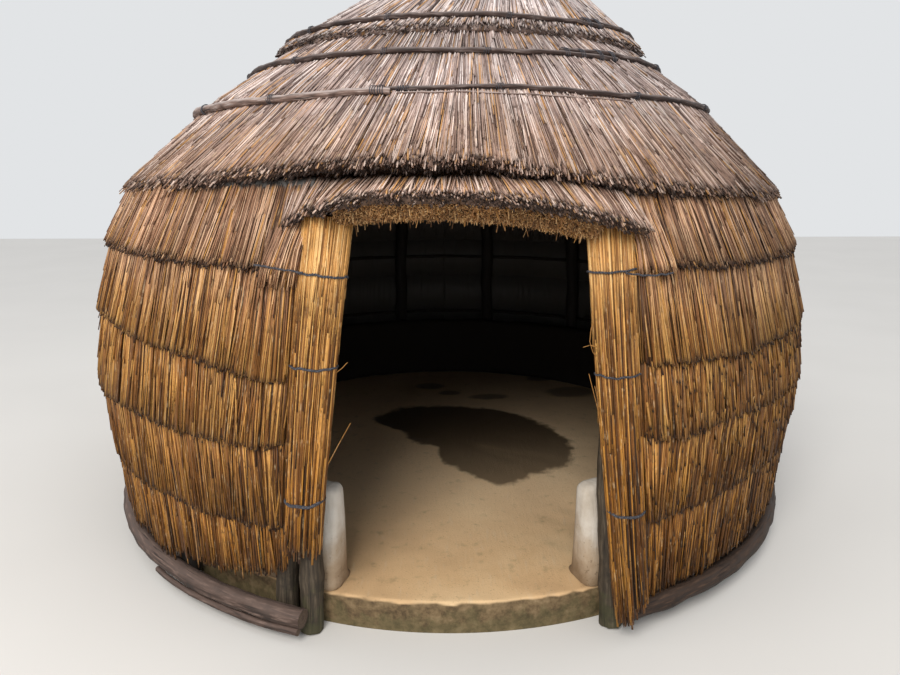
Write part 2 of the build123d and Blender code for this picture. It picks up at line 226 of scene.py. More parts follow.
def add_stalks(shape, skin, turn, foot, head, lifts, swing, thick, dark_butt_and_shade, rng, bends=2, bow=0.0):
    """Three-sided stalks that lie on a skin. A ring's share of the way from foot to head
    gives its height along the skin, its turn and its lift, with a bow in the middle."""
    share, count = np.linspace(0, 1, bends), len(turn)

    def between(start, end):
        """Values from start to end, stalk by stalk and ring by ring."""
        start, end = np.broadcast_arrays(start, end)
        return start[:, None] + (end - start)[:, None] * share

    lift = between(*lifts) + np.asarray(bow)[..., None] * 4 * share * (1 - share)
    line = skin(between(turn, turn + swing), between(foot, head), lift)
    out = skin(turn, foot, lifts[0] + 0.01) - skin(turn, foot, lifts[0])
    width = thick * np.exp(0.16 * rng.normal(size=count))[:, None, None]
    radius = width * np.linspace(1, 0.86, bends)[None, :, None]
    corners = ring_corners(line, unit(out)[:, None], radius, 3, rng.uniform(0, 2.1, count))
    tone = rng.uniform(0, 1, count)[:, None, None]
    from_butt = (share * np.abs(head - foot)[:, None])[..., None]
    dark_butt_and_shade = np.broadcast_to(dark_butt_and_shade, count)[:, None, None]
    shape.add_tubes(corners, stalk_marks(corners.shape[:3], tone, from_butt, dark_butt_and_shade))


def spread(rng, start, end, radius, pitch):
    """Turns of stalks about pitch apart at the front and further apart at the back, drawn
    together into small bunches."""
    grid = np.linspace(start, end, 121)
    crowd = np.interp(np.abs(grid), (75, 110), (1.0, 0.68))
    total = np.concatenate([[0.0], np.cumsum((crowd[1:] + crowd[:-1]) / 2 * np.diff(grid))])
    count = max(int(math.radians(total[-1]) * radius / pitch), 1)
    turn = np.interp((np.arange(count) + rng.uniform(0.1, 0.9, count)) / count * total[-1], total, grid)
    bunch = math.degrees(0.0036 / radius) * wander(np.radians(turn) * radius, 0.034, rng)
    return np.clip(turn + bunch, start, end)


def lay(shape, skin, turn, radius, foot, length, lifts, rng, dark_butt_and_shade=0.3, bends=2, ragged=0.006, sway=1.0):
    """A layer of stalks side by side. Their feet, lean and lift wander along the course, and
    each stalk has a little of its own."""
    place, count = np.radians(turn) * radius, len(turn)
    stray = np.where(rng.uniform(0, 1, count) < 0.12, 2.6, 0.8)
    lean = stray * rng.normal(size=count) + 1.1 * wander(place, 0.08, rng) + 1.3 * wander(place, 0.45, rng)
    step = rng.normal(size=count) + 0.9 * wander(place, 0.06, rng) + 0.8 * wander(place, 0.4, rng)
    foot = foot + ragged * step
    swing = np.degrees(np.radians(sway * lean) * length / radius)
    ridge = 0.0022 * wander(place, 0.05, rng) + 0.0012 * rng.normal(size=count)
    lifts = (lifts[0] + ridge, lifts[1] + 0.6 * ridge)
    bow = 0.002 * rng.normal(size=count)
    add_stalks(shape, skin, turn, foot, foot + length, lifts, swing, STALK, dark_butt_and_shade, rng, bends, bow)


def outline_of(corners, turn):
    """Outline at each turn from (radius, height) corners, which may change with the turn."""
    return np.stack([np.stack(np.broadcast_arrays(*corner, turn)[:2], -1) for corner in corners], 1)


def add_backing(shape, outline, start, end, radius, rng, pitch=0.011):
    """Closed body behind the stalks. An outline of (radius, height) corners, or of places, is
    carried round from one turn to the other, and every column stands in or out by its own
    small step."""
    count = max(int(math.radians(end - start) * radius / pitch), 2) + 1
    turn = np.linspace(start, end, count)
    points = outline(turn)
    if points.shape[-1] == 2:
        points = around(points[..., 0], turn[:, None], points[..., 1])
    points[..., :2] *= 1 + 0.001 * rng.normal(size=count)[:, None, None]
    # Low tones and dark marks paint the body dark: painted shade in the gaps between stalks.
    tone = 0.6 * rng.uniform(0, 1, count)[:, None]
    shape.add_tubes(points[None], stalk_marks(points.shape[:2], tone, dark_butt_and_shade=0.7))


def cone(foot, head):
    """Skin through two (radius, height) rings: along goes up it and lift goes square to it."""
    length = math.hypot(head[0] - foot[0], head[1] - foot[1])
    inwards, up = (head[0] - foot[0]) / length, (head[1] - foot[1]) / length

    def skin(turn, along, lift):
        return around(foot[0] + inwards * along + up * lift, turn, foot[1] + up * along - inwards * lift)

    return skin, length


# Shaders
class Wire:
    """A shader output in sums: wire + 1, 1 - wire and the like add Math nodes."""

    def __init__(self, finish, socket):
        self.finish, self.socket = finish, socket

    def __add__(self, other):
        return self.finish.maths("ADD", self, other)

    def __sub__(self, other):
        return self.finish.maths("SUBTRACT", self, other)

    def __rsub__(self, other):
        return self.finish.maths("SUBTRACT", other, self)

    def __mul__(self, other):
        return self.finish.maths("MULTIPLY", self, other)

    def __gt__(self, other):
        return self.finish.maths("GREATER_THAN", self, other)

    __radd__, __rmul__ = __add__, __mul__


class Finish:
    """One procedural material."""

    def __init__(self, name):
        self.material = bpy.data.materials.new(name)
        self.material.use_nodes = True
        self.tree = self.material.node_tree
        self.tree.nodes.clear()
        self.place = self.node("ShaderNodeTexCoord", out="Object")

    def node(self, kind, settings=None, sockets=(), out=0):
        """Adds a node: its settings first, then the values or links of its sockets."""
        made = self.tree.nodes.new(kind)
        for key, value in (settings or {}).items():
            if key == "stops":
                ramp = made.color_ramp
                while len(ramp.elements) < len(value):
                    ramp.elements.new(0.5)
                for element, (position, colour) in zip(ramp.elements, value):
                    element.position, element.color = position, colour
            else:
                setattr(made, key, value)
        named = sockets.items() if isinstance(sockets, dict) else enumerate(sockets)
        for key, value in named:
            if isinstance(value, Wire):
                self.tree.links.new(value.socket, made.inputs[key])
            else:
                made.inputs[key].default_value = value
        return Wire(self, made.outputs[out] if made.outputs else None)

    def maths(self, operation, *values):
        """Sum of numbers, of which some are wires."""
        return self.node("ShaderNodeMath", {"operation": operation}, values)

    def split(self, vector):
        """The three numbers of a vector."""
        node = self.node("ShaderNodeSeparateXYZ", sockets=[vector]).socket.node
        return [Wire(self, node.outputs[n]) for n in range(3)]

    def mark(self, name):
        """The three numbers of a piece's marks."""
        return self.split(self.node("ShaderNodeAttribute", {"attribute_name": name}, out="Vector"))

    def join(self, x, y, z):
        """Vector of three numbers."""
        return self.node("ShaderNodeCombineXYZ", sockets=[x, y, z])

    def stretch(self, vector, scale):
        """Vector whose numbers are scaled, each by its own factor."""
        return self.node("ShaderNodeMapping", sockets={"Vector": vector, "Scale": scale})

    def noise(self, scale, detail=3.0, rough=0.55, at=None, warp=0.0):
        """Cloudy number from 0 to 1, by a place on the piece or by another vector."""
        sockets = {"Vector": at or self.place, "Scale": scale, "Detail": detail}
        return self.node("ShaderNodeTexNoise", sockets={**sockets, "Roughness": rough, "Distortion": warp})

    def band(self, value, low, high, start=0.0, end=1.0):
        """Smooth step from start at low to end at high."""
        smooth = {"interpolation_type": "SMOOTHSTEP"}
        return self.node("ShaderNodeMapRange", smooth, [value, low, high, start, end])

    def ramp(self, value, *stops):
        """Colour by a value, through linear colours at their stops."""
        return self.node("ShaderNodeValToRGB", {"stops": stops}, [value])

    def shades(self, value, *stops):
        """Ramp through display colours from 0 to 255."""
        return self.ramp(value, *((position, rgb(*colour)) for position, colour in stops))

    def mix(self, factor, first, second, blend="MIX"):
        """Goes from the first colour to the second."""
        settings = {"data_type": "RGBA", "blend_type": blend}
        return self.node("ShaderNodeMix", settings, {0: factor, 6: first, 7: second}, out=2)

    def tint(self, colour, value, low, high, amount, shade):
        """Goes over to an amount of a display colour as the value goes from low to high."""
        return self.mix(self.band(value, low, high, 0.0, amount), colour, rgb(*shade))

    def times(self, colour, factor):
        """Colour times a number, which makes it darker or lighter."""
        return self.mix(1.0, colour, self.join(factor, factor, factor), "MULTIPLY")

    def indoor_shade(self, kind):
        """1 where a place is on the room's side of the wall reeds, or under the roof: where the
        indoor shade is painted.
        """
        x, y, z = self.split(self.place)
        radius = self.maths("SQRT", x * x + y * y)
        if kind == "wall":
            return self.band(radius + z * LEAN, REED_BACK + 0.012, REED_BACK + 0.004)
        peak = under_roof(0.0)
        return self.band(z + radius * RISE, peak - 0.090, peak - 0.110) * self.band(radius, 1.42, 1.34)

    def shade(self, colour, rough, bump=None, depth=0.001, specular=0.3):
        """Closes the material. The bump, times its depth in metres, is its relief."""
        sockets = {"Base Color": colour, "Roughness": rough, "Specular IOR Level": specular}
        if bump is not None:
            sockets["Normal"] = self.node(
                "ShaderNodeBump", sockets={"Height": bump, "Distance": depth, "Strength": 1.0})
        shader = self.node("ShaderNodeBsdfPrincipled", sockets=sockets)
        self.node("ShaderNodeOutputMaterial", sockets=[shader])
        return self.material


def reed_finish(name, levels, golden=0.12, inside=None, right_damp_and_shade=0.68):
    """Dried reed. Each stalk has its own tone between a dark, a middle and a light colour,
    which change from level to level up the hut, with flecks along it and a dark butt. What
    faces the room, or the underside of the roof, is painted dark grey as shade."""
    f = Finish(name)
    tone, from_butt, dark_butt_and_shade = f.mark("stalk")
    x, _, z = f.split(f.place)

    def tones(dark, middle, light):
        return f.shades(tone, (0.0, dark), (0.34, middle), (0.62, middle), (0.90, light), (1.0, light))

    patch = f.noise(2.2, 3.0)
    height = z + (patch - 0.5) * 0.35
    colour = tones(*levels[0][1])
    for below, above in zip(levels, levels[1:]):
        colour = f.mix(f.band(height, below[0], above[0]), colour, tones(*above[1]))
    odd = f.noise(1.0, 1.0, at=f.join(tone * 91.0, dark_butt_and_shade * 3.0, 0.5))
    colour = f.tint(colour, odd, 0.60, 0.66, golden * 6.0, (206, 150, 78))
    fleck = f.noise(1.0, 3.0, 0.6, at=f.join(tone * 73.0, from_butt * 17.0, z * 3.0))
    colour = f.tint(colour, fleck, 0.54, 0.70, 0.55, (64, 38, 22))
    colour = f.tint(colour, fleck, 0.42, 0.28, 0.40, (236, 208, 164))
    speck = f.noise(150.0, 2.0, 0.6, at=f.stretch(f.place, (1.0, 1.0, 0.35)))
    colour = f.tint(colour, speck - z * 0.05, 0.56, 0.66, 0.55, (44, 25, 13))
    colour = f.times(colour, f.band(f.noise(5.0, 4.0, 0.6), 0.35, 0.68, 0.82, 1.12))
    # Darker towards +X: partly damp reed, partly painted shade on the side away from the lamp.
    colour = f.times(colour, f.band(x + (patch - 0.5) * 0.8, 0.35, 1.25, 1.0, right_damp_and_shade))
    # Dark butt: partly a dark cut end, partly painted shade, stronger on deeper layers and over the bodies
    # behind the stalks.
    colour = f.mix(f.band(from_butt, 0.020, 0.002) * dark_butt_and_shade, colour, rgb(44, 29, 22))
    # Painted shade: what faces the room, and the roof's underside, goes dark grey.
    if inside:
        colour = f.mix(f.indoor_shade(inside), colour, rgb(84, 81, 78))
    return f.shade(colour, f.band(fleck, 0.3, 0.7, 0.45, 0.7), f.noise(420.0, 2.0), 0.0006, 0.4)


def bark_finish(name, dark, middle, light, top_highlight=0.5, moss=0.0, indoor_shade=False):
    """Weathered branch: streaks along it, dark cracks and knots, an upper side painted lighter
    as a highlight, and rings on the cut ends."""
    f = Finish(name)
    across, along, up = f.mark("grain")
    _, y, z = f.split(f.place)
    streak = f.noise(1.0, 4.0, 0.6, at=f.join(across * 95.0, along * 9.0, 0.0))
    colour = f.shades(streak, (0.30, dark), (0.52, middle), (0.74, light))
    blotch = f.noise(14.0, 4.0, 0.62)
    colour = f.tint(colour, blotch, 0.50, 0.66, 0.7, dark)
    # Painted highlight: the upper side goes towards the light colour.
    colour = f.tint(colour, up + (blotch - 0.5), 0.05, 0.85, top_highlight, light)
    colour = f.tint(colour, f.noise(22.0, 3.0) - z * 2.2, 0.16, 0.42, moss, (70, 72, 42))
    crack = f.noise(1.0, 2.0, 0.5, at=f.join(across * 150.0, along * 5.0, 3.0))
    colour = f.tint(colour, crack, 0.60, 0.68, 0.75, (24, 18, 15))
    rings = f.node("ShaderNodeTexWave", {"wave_type": "BANDS"}, {
        "Vector": f.join(across * 420.0, 0.0, 0.0), "Scale": 1.0, "Distortion": 2.0})
    colour = f.mix(up > 2.0, colour, f.mix(rings, rgb(52, 42, 36), rgb(112, 92, 76)))
    # Painted shade: the posts behind the doorway, in the room, go dark.
    if indoor_shade:
        colour = f.tint(colour, y, -1.42, -1.20, 1.0, (46, 42, 39))
    return f.shade(colour, f.band(streak, 0.3, 0.7, 0.55, 0.82), streak + crack * -0.8, 0.0022)


# The floor's stain: share of a full turn about its middle, from -X, and its reach in metres
STAIN_MIDDLE = (0.15, 0.02)
STAIN = (
    (0.0, 0.392), (0.094, 0.252), (0.231, 0.504), (0.270, 0.645), (0.316, 0.600), (0.396, 0.606),
    (0.440, 0.570), (0.604, 0.442), (0.731, 0.504), (0.805, 0.595), (0.867, 0.687), (0.932, 0.703),
    (0.958, 0.456), (1.0, 0.392),
)
# Middle and half lengths of the fainter spots
SPOTS = (
    ((-0.12, 1.00), (0.10, 0.06)), ((0.02, 0.84), (0.07, 0.04)), ((0.30, 0.75), (0.12, 0.05)),
    ((0.86, 0.84), (0.16, 0.10)), ((0.71, 1.17), (0.10, 0.06)),
)


def clay_finish():
    """Smoothed clay: pale trowelled top with a wet stain near the middle and a few spots,
    a damp darker side, and moss low on it. The top is painted lighter towards the doorway
    as light, and darker towards the back as shade."""
    f = Finish("clay_floor")
    x, y, z = f.split(f.place)
    cloud = f.noise(2.2, 4.0, 0.6)
    colour = f.shades(cloud, (0.32, (202, 165, 122)), (0.52, (217, 180, 134)), (0.72, (228, 195, 150)))
    # Painted light: the top is lighter towards the doorway.
    colour = f.tint(colour, y, -1.45, -0.35, 0.55, (238, 212, 176))
    speck = f.noise(130.0, 3.0, 0.7)
    colour = f.tint(colour, speck, 0.60, 0.70, 0.45, (120, 92, 64))
    scrape = f.noise(1.0, 3.0, at=f.stretch(f.place, (60.0, 9.0, 9.0)))
    colour = f.tint(colour, scrape, 0.55, 0.75, 0.25, (214, 194, 164))
    ragged = (f.noise(3.0, 5.0, 0.62, warp=0.8) - 0.5) * 1.3

    def from_middle(middle, size):
        dx, dy = (x - middle[0]) * (1 / size[0]), (y - middle[1]) * (1 / size[1])
        return dx, dy, f.maths("SQRT", dx * dx + dy * dy)

    dx, dy, distance = from_middle(STAIN_MIDDLE, (1.0, 1.0))
    bearing = f.maths("ARCTAN2", dy, dx) * (0.5 / math.pi) + 0.5
    outline = f.ramp(bearing, *((share, (reach, reach, reach, 1.0)) for share, reach in STAIN))
    fringe = (f.noise(16.0, 4.0, 0.6) - 0.5) * 0.10
    wet = f.band(distance - outline + ragged * 0.13 + fringe, 0.022, -0.030)
    for middle, size in SPOTS:
        wet = f.maths("MAXIMUM", wet, f.band(from_middle(middle, size)[2] + ragged, 1.25, 0.75, 0.0, 0.7))
    level_top = f.band(z, FLOOR_HEIGHT - 0.012, FLOOR_HEIGHT - 0.004)
    wet = wet * level_top
    colour = f.mix(wet * f.band(y + ragged * 0.2, -0.55, 0.30, 0.72, 0.90), colour, rgb(44, 32, 22))
    crust = f.noise(26.0, 5.0, 0.68)
    side = f.shades(crust, (0.34, (78, 62, 42)), (0.54, (116, 96, 68)), (0.74, (144, 122, 92)))
    colour = f.mix(level_top, side, colour)
    colour = f.tint(colour, f.noise(17.0, 4.0) - z * 3.4, 0.16, 0.42, 0.40, (78, 78, 48))
    # Painted shade: the top goes darker towards the back of the room.
    colour = f.mix(f.band(y + ragged * 0.3, 0.0, 1.3, 0.0, 0.45) * level_top, colour, rgb(46, 38, 32))
    rough = f.band(wet, 0.0, 1.0, 0.82, 0.34)
    return f.shade(colour, rough, cloud * 1.5 + speck * 0.5 + scrape * 0.4, 0.003, 0.35)


def plaster_finish():
    """Off-white hand-laid plaster, with splashed clay and dirt towards its foot, and painted
    shade on all of it but the part by the doorway.
    """
    f = Finish("clay_plaster")
    _, y, z = f.split(f.place)
    cloud = f.noise(6.0, 5.0, 0.6)
    colour = f.shades(cloud, (0.30, (188, 176, 160)), (0.55, (212, 204, 192)), (0.78, (224, 219, 210)))
    height = z + (cloud - 0.5) * 0.34
    colour = f.tint(colour, height, 0.40, 0.20, 0.75, (160, 132, 98))
    colour = f.tint(colour, height, 0.24, 0.10, 0.7, (112, 88, 60))
    speck = f.noise(70.0, 3.0, 0.7)
    colour = f.tint(colour, speck - z * 0.25, 0.55, 0.64, 0.5, (98, 76, 54))
    # Painted shade: away from the doorway the plaster goes dark.
    colour = f.tint(colour, y, -1.36, -1.00, 1.0, (44, 39, 35))
    stroke = f.noise(1.0, 4.0, at=f.stretch(f.place, (45.0, 45.0, 9.0)))
    return f.shade(colour, 0.86, stroke + speck * 0.3 + cloud, 0.004, 0.2)


def cord_finish():
    """Dark twine with dusty fibres."""
    f = Finish("tie_cord")
    fibre = f.noise(260.0, 3.0, 0.7)
    colour = f.shades(fibre, (0.35, (38, 38, 42)), (0.55, (72, 72, 78)), (0.75, (128, 126, 130)))
    return f.shade(colour, 0.8, fibre, 0.0006)


SKY_REED = ((120, 104, 100), (204, 188, 184), (240, 230, 226))
GREY_REED = ((104, 82, 76), (190, 168, 160), (236, 222, 216))
PALE_REED = ((90, 62, 48), (172, 140, 122), (226, 200, 184))
TAN_REED = ((72, 46, 32), (164, 122, 94), (226, 186, 152))
GOLD_REED = ((62, 32, 8), (152, 100, 46), (222, 168, 92))
WET_REED = ((38, 18, 2), (116, 70, 18), (184, 126, 46))
BRIGHT_REED = ((140, 94, 48), (206, 152, 86), (236, 194, 130))
STRAW = ((78, 50, 28), (160, 114, 68), (216, 174, 120))

roof_reed = reed_finish("roof_reed", ((1.62, PALE_REED), (2.00, GREY_REED), (2.45, SKY_REED)), inside="roof")
wall_reed = reed_finish(
    "wall_reed", ((0.20, WET_REED), (1.00, GOLD_REED), (1.50, TAN_REED)), golden=0.15, inside="wall")
canopy_reed = reed_finish("canopy_reed", ((1.40, TAN_REED), (1.55, PALE_REED)))
golden_reed = reed_finish(
    "golden_reed", ((0.55, WET_REED), (1.10, GOLD_REED), (1.44, BRIGHT_REED)), right_damp_and_shade=0.95)
straw = reed_finish("straw", ((1.2, STRAW), (1.6, STRAW)))
pole_wood = bark_finish("pole_wood", (38, 33, 26), (70, 60, 48), (108, 96, 80), 0.2, 0.4, indoor_shade=True)
rafter_wood = bark_finish("rafter_wood", (30, 26, 23), (48, 42, 37), (66, 58, 51), 0.1)
sapling_bark = bark_finish("sapling_bark", (62, 46, 40), (124, 102, 92), (188, 174, 168), 0.7)
dark_sapling = bark_finish("dark_sapling", (30, 22, 20), (66, 50, 44), (132, 120, 116), 0.6)
# Painted shade: both ground barks are darkened as the shadow under the wall's hem, the right one most.
shaded_ground_bark = bark_finish("shaded_ground_bark", (34, 26, 22), (72, 56, 48), (128, 108, 98), 0.35)
shaded_bark = bark_finish("shaded_bark", (24, 17, 13), (50, 36, 27), (88, 68, 54), 0.2)
tie_cord = cord_finish()
clay_floor = clay_finish()
clay_plaster = plaster_finish()


# Wall thatch
# Height of the lowest course's butts round the hut
HEM_TURNS = (-180, -75, -60, -46, -40, -35, -30, -24, -21, -18, 18, 20, 24, 28, 33, 40, 47, 60, 180)
HEM_HEIGHTS = (0.21, 0.20, 0.175, 0.165, 0.185, 0.20, 0.225, 0.255, 0.29, 0.32,
               0.12, 0.12, 0.135, 0.145, 0.15, 0.17, 0.185, 0.20, 0.21)


def jamb_lengthwise(height, side):
    """Centre, half width and half thickness of a door bundle at a height, as if it stood on
    the right."""
    height = np.asarray(height)
    share = (height - JAMB_FOOT[1]) / (JAMB_HEAD[1] - JAMB_FOOT[1])
    half, thick = (low + (high - low) * share for low, high in (JAMB_HALVES, JAMB_DEPTHS))
    middle, drawn_in, soft = JAMB_WAIST
    half = half - drawn_in * np.exp(-((height - middle) / soft) ** 2)
    low_turn, high_turn, bow = JAMB_TURNS[side]
    bottom = around(JAMB_FOOT[0], DOOR_ANGLE + low_turn, JAMB_FOOT[1])
    top = around(JAMB_HEAD[0], DOOR_ANGLE + high_turn, JAMB_HEAD[1])
    centre = bottom + (top - bottom) * share[..., None]
    centre[..., 0] += bow * 4 * np.clip(share, 0, 1) * (1 - np.clip(share, 0, 1))
    return centre, half, thick


def jamb_edge(height, side):
    """Turn just beyond a door bundle's outer edge."""
    centre, half, _ = jamb_lengthwise(height, side)
    radius = np.hypot(centre[..., 0], centre[..., 1])
    return np.degrees(np.arctan2(centre[..., 0], -centre[..., 1]) + np.arcsin((half + 0.001) / radius))


# Rise of the butts of the second to the top course against their level, round the hut
RISE_TURNS = (-85, -56, -46, -38, -32, -27, -23, -19, 19, 24, 30, 37, 45, 55, 85)
HEM_RISES = (
    (0.0, -0.004, -0.004, 0.015, 0.006, 0.010, 0.014, 0.015,
     0.010, 0.015, 0.024, 0.040, 0.040, 0.035, 0.0),
    (0.0, 0.008, 0.028, 0.025, 0.021, 0.019, 0.020, 0.008,
     0.015, 0.032, 0.036, 0.046, 0.042, 0.036, 0.0),
    (0.0, 0.058, 0.044, 0.026, 0.012, -0.009, -0.024, -0.048,
     -0.004, 0.012, 0.006, -0.003, 0.013, 0.028, 0.0),
    (0.0, 0.019, 0.015, 0.011, 0.011, 0.009, 0.0, -0.002,
     0.004, 0.010, -0.004, -0.009, -0.010, -0.011, 0.0),
)
RISE_LEVELS = (0.33, 0.440, 0.730, 1.000, 1.315, 1.5758)
# The wall's face, from the ground up
FACE_HEIGHTS = (0.12, 0.440, 0.730, 1.000, 1.315, 1.5758)
FACE_RADII = (1.676, 1.7090, 1.7403, 1.7177, 1.6546, 1.5192)


def settle(points, number, side):
    """Moves places on a course's level rings to where the reeds hang: the butts rise and sink
    round the hut, the reeds beside a door bundle run along it, the face rolls in to meet the
    bundle, and two low courses on the right have hardly any step."""
    way, foot = SIDES[side], COURSES[number][0][0]
    turn = way * np.degrees(np.arctan2(points[..., 0], -points[..., 1]))
    turn = np.where(turn < -90, turn + 360, turn)
    radius, level = np.hypot(points[..., 0], points[..., 1]), points[..., 2]
    rise = 0.0
    for share, row in zip(np.eye(6)[1:5], HEM_RISES):
        rise = rise + np.interp(level, RISE_LEVELS, share) * np.interp(way * turn, RISE_TURNS, row)
    height = level + rise
    front = np.clip((radius - reed_back(level)) / 0.04, 0, 1)
    face = np.interp(height, FACE_HEIGHTS, FACE_RADII)
    step = face - np.interp(level, FACE_HEIGHTS, FACE_RADII)
    radius = radius - LEAN * rise * (1 - front) + step * front
    edge, beside = float(jamb_edge(foot, side)), jamb_edge(height, side)
    turn = turn + (beside - edge) * np.clip(1 - (turn - edge) / 14, 0, 1)
    centre, _, thick = jamb_lengthwise(height, side)
    meet = np.hypot(centre[..., 0], centre[..., 1]) + 0.75 * thick
    roll = np.clip(1 - (turn - beside) / 3.2, 0, 1) ** 2
    radius = radius - front * roll * np.maximum(face - meet, 0)
    if side == "right" and number in (1, 2):
        above_butts = np.clip(1 - (level - foot) / 0.15, 0, 1)
        radius = radius - 0.010 * front * above_butts * np.interp(turn, (20, 30, 75, 100), (0, 1, 1, 0))
    return around(radius, way * turn, height)


def course_outline(number):
    """Corners of a course behind its stalks: over the one below and under the one above."""
    (foot, outer, thickness), (head_radius, head_height) = COURSES[number]

    def outline(turn):
        if number == 0:
            low = np.interp(turn, HEM_TURNS, HEM_HEIGHTS) + 0.02
            corners = [(reed_back(low), low)]
        else:
            low, tuck = foot + 0.006, foot + OVERLAP
            corners = [(reed_back(tuck), tuck), (reed_back(tuck) + TIP, tuck), (outer - thickness, low)]
        corners += [(outer - 0.009, low), (head_radius - 0.007, head_height)]
        if number < 4:
            end = head_height + OVERLAP
            corners += [(reed_back(end) + TIP - 0.001, end), (reed_back(end), end)]
        else:
            front = PLATE[0] + PLATE_RADIUS
            corners += [(front, under_roof(front, ROOF_DEPTH + GAP)), (front, PLATE[1]),
                        (reed_back(PLATE[1]), PLATE[1])]
        return outline_of(corners, turn)

    return outline


# Depth of each layer of stalks, its share of the course's stagger, how dark its butts are
# (a dark cut end, with more painted shade on deeper layers), and its pitch
WALL_LAYERS = ((0.010, 0.0, 0.9, 0.0062), (0.0055, 0.4, 0.7, 0.0048), (0.001, 1.0, 0.5, 0.0039))
STAGGERS = (0.004, 0.003, 0.003, 0.004, 0.009)


def wall_reeds(number, side):
    """A wall course of one side: its body, three layers of stalks, odd short ones, and the
    butts behind its lip."""
    (foot, outer, thickness), head = COURSES[number]
    rng = np.random.default_rng([number, side == "left"])
    skin, length = cone((outer, foot), head)
    edge = float(jamb_edge(foot, side))
    start, end = (edge, 180.0) if side == "right" else (-180.0, -edge)
    shape = Shape()
    add_backing(shape, course_outline(number), start, end, outer, rng)
    ragged, stagger = 0.010 if number == 0 else 0.0045, STAGGERS[number]
    top = length + (0.05 if number < 4 else -0.012)

    def hem(turn):
        return np.interp(turn, HEM_TURNS, HEM_HEIGHTS) - foot if number == 0 else -0.004

    for depth, butt, dark_butt_and_shade, pitch in WALL_LAYERS:
        turn = spread(rng, start, end, outer, pitch)
        rise = hem(turn) + butt * stagger
        lay(shape, skin, turn, outer, rise, top - rise, (-depth, -depth - 0.002), rng, dark_butt_and_shade, ragged=ragged)
    turn = spread(rng, start, end, outer, 0.013)
    rise = hem(turn) + rng.uniform(0.01, 0.8, len(turn)) * length
    lay(shape, skin, turn, outer, rise, np.minimum(0.24, top - rise), (0.0025, -0.006), rng)
    for _ in range(2 if thickness > 0.02 else 1):
        turn = spread(rng, start, end, outer, 0.0060)
        depth = rng.uniform(0.007, thickness - 0.001, len(turn))
        rise = hem(turn) - 0.002 + 0.4 * stagger * rng.normal(size=len(turn))
        lay(shape, skin, turn, outer, rise, 0.04, (-depth, -depth), rng, 1.0)
    if side == "right" and number < 3:
        turn = spread(rng, start, end, outer, 0.010)
        rise = hem(turn) + rng.uniform(0.0, 0.9, len(turn)) * length
        lay(shape, skin, turn, outer, rise, np.minimum(0.12, top - rise), (0.003, -0.006), rng, 1.0)
    if number == 4:
        add_strip(shape, side, rng)
    shape.points = [settle(points, number, side) for points in shape.points]
    shape.build(f"wall_reeds_{number + 1}_{side}", wall_reed, "wall_reed", f"wall_course_{number + 1}_{side}")


STRIP_HEIGHTS = (0.12, 0.44, 0.73, 0.84, 0.93, 1.00, 1.315, 1.36, 1.42, 1.46, 1.56)
STRIP_RADII = (1.676, 1.7085, 1.7400, 1.7290, 1.7190, 1.7235, 1.6640, 1.6370, 1.6040, 1.5770, 1.5240)
STRIP_TOP = 1.475
# Foot, raggedness, width in degrees and lift over the course
STRIPS = {"left": (1.265, 0.08, 3.6, 0.002), "right": (1.288, 0.012, 3.9, 0.005)}


def add_strip(shape, side, rng):
    """A bunch of upright reeds beside a door bundle, from the canopy down over the butts of
    the top course. Its turn is counted from the bundle's edge, and along is a height."""

    def skin(turn, along, lift):
        radius = np.interp(along, STRIP_HEIGHTS, STRIP_RADII) + lift
        return around(radius, SIDES[side] * (jamb_edge(along, side) + turn), along)

    foot, ragged, wide, proud = STRIPS[side]
    for depth in (0.018, 0.012, 0.006, 0.001):
        turn = spread(rng, -0.5, wide, 1.67, 0.0048)
        count = len(turn)
        low = foot + ragged * rng.uniform(0, 1, count) ** 2 + 0.005 * rng.normal(size=count)
        lift = proud - depth + 0.0012 * rng.normal(size=count) - 0.004 * np.clip(turn / wide, 0, 1)
        swing = 0.25 * rng.normal(size=count)
        add_stalks(shape, skin, turn, low, STRIP_TOP, (lift, lift), swing, STALK, 0.3, rng, 7)


for side in SIDES:
    for number in range(5):
        wall_reeds(number, side)


# Roof thatch
# How far the eave reaches past its ring and hangs below it, round the hut
EAVE_TURNS = (-180, -100, -60, -35, -17, 0, 17, 33, 60, 100, 180)
EAVE_REACH = (0.0, -0.030, -0.035, -0.020, -0.004, -0.004, 0.010, 0.016, 0.010, 0.004, 0.0)
EAVE_DROOP = (0.075, 0.090, 0.094, 0.050, -0.008, -0.020, 0.030, 0.062, 0.092, 0.088, 0.075)
# Metres to +X per metre that the roof rises above its eave
ROOF_DRIFT = 0.09
# Way up the roof over which the eave bends down
BENT = 0.47
# How many stalks have their butts anywhere on the roof, and how many butts half the eave shows
ROOF_SHORT, ROOF_BUTTS = 2700, 6600
# Depth, place of the butts, how dark they are (dark cut ends and painted shade), and pitch of
# each layer
ROOF_LAYERS = ((0.011, -0.004, 0.9, 0.0060), (0.006, -0.002, 0.8, 0.0048), (0.001, 0.004, 0.5, 0.0039))


def eave_reach(turn):
    """How far the eave's butts run on below their ring, along the roof."""
    return np.interp(turn, EAVE_TURNS, EAVE_REACH)


roof_cone, roof_length = cone(EAVE, (ROOF_TOP, under_roof(ROOF_TOP)))


def roof_skin(turn, along, lift):
    """The roof's cone, whose lower half bends down more at the sides than over the door."""
    points = roof_cone(turn, along, lift)
    points[..., 2] -= np.interp(turn, EAVE_TURNS, EAVE_DROOP) * np.clip(1 - along / BENT, 0, 1.2)
    points[..., 0] += ROOF_DRIFT * (points[..., 2] - EAVE[1])
    return points


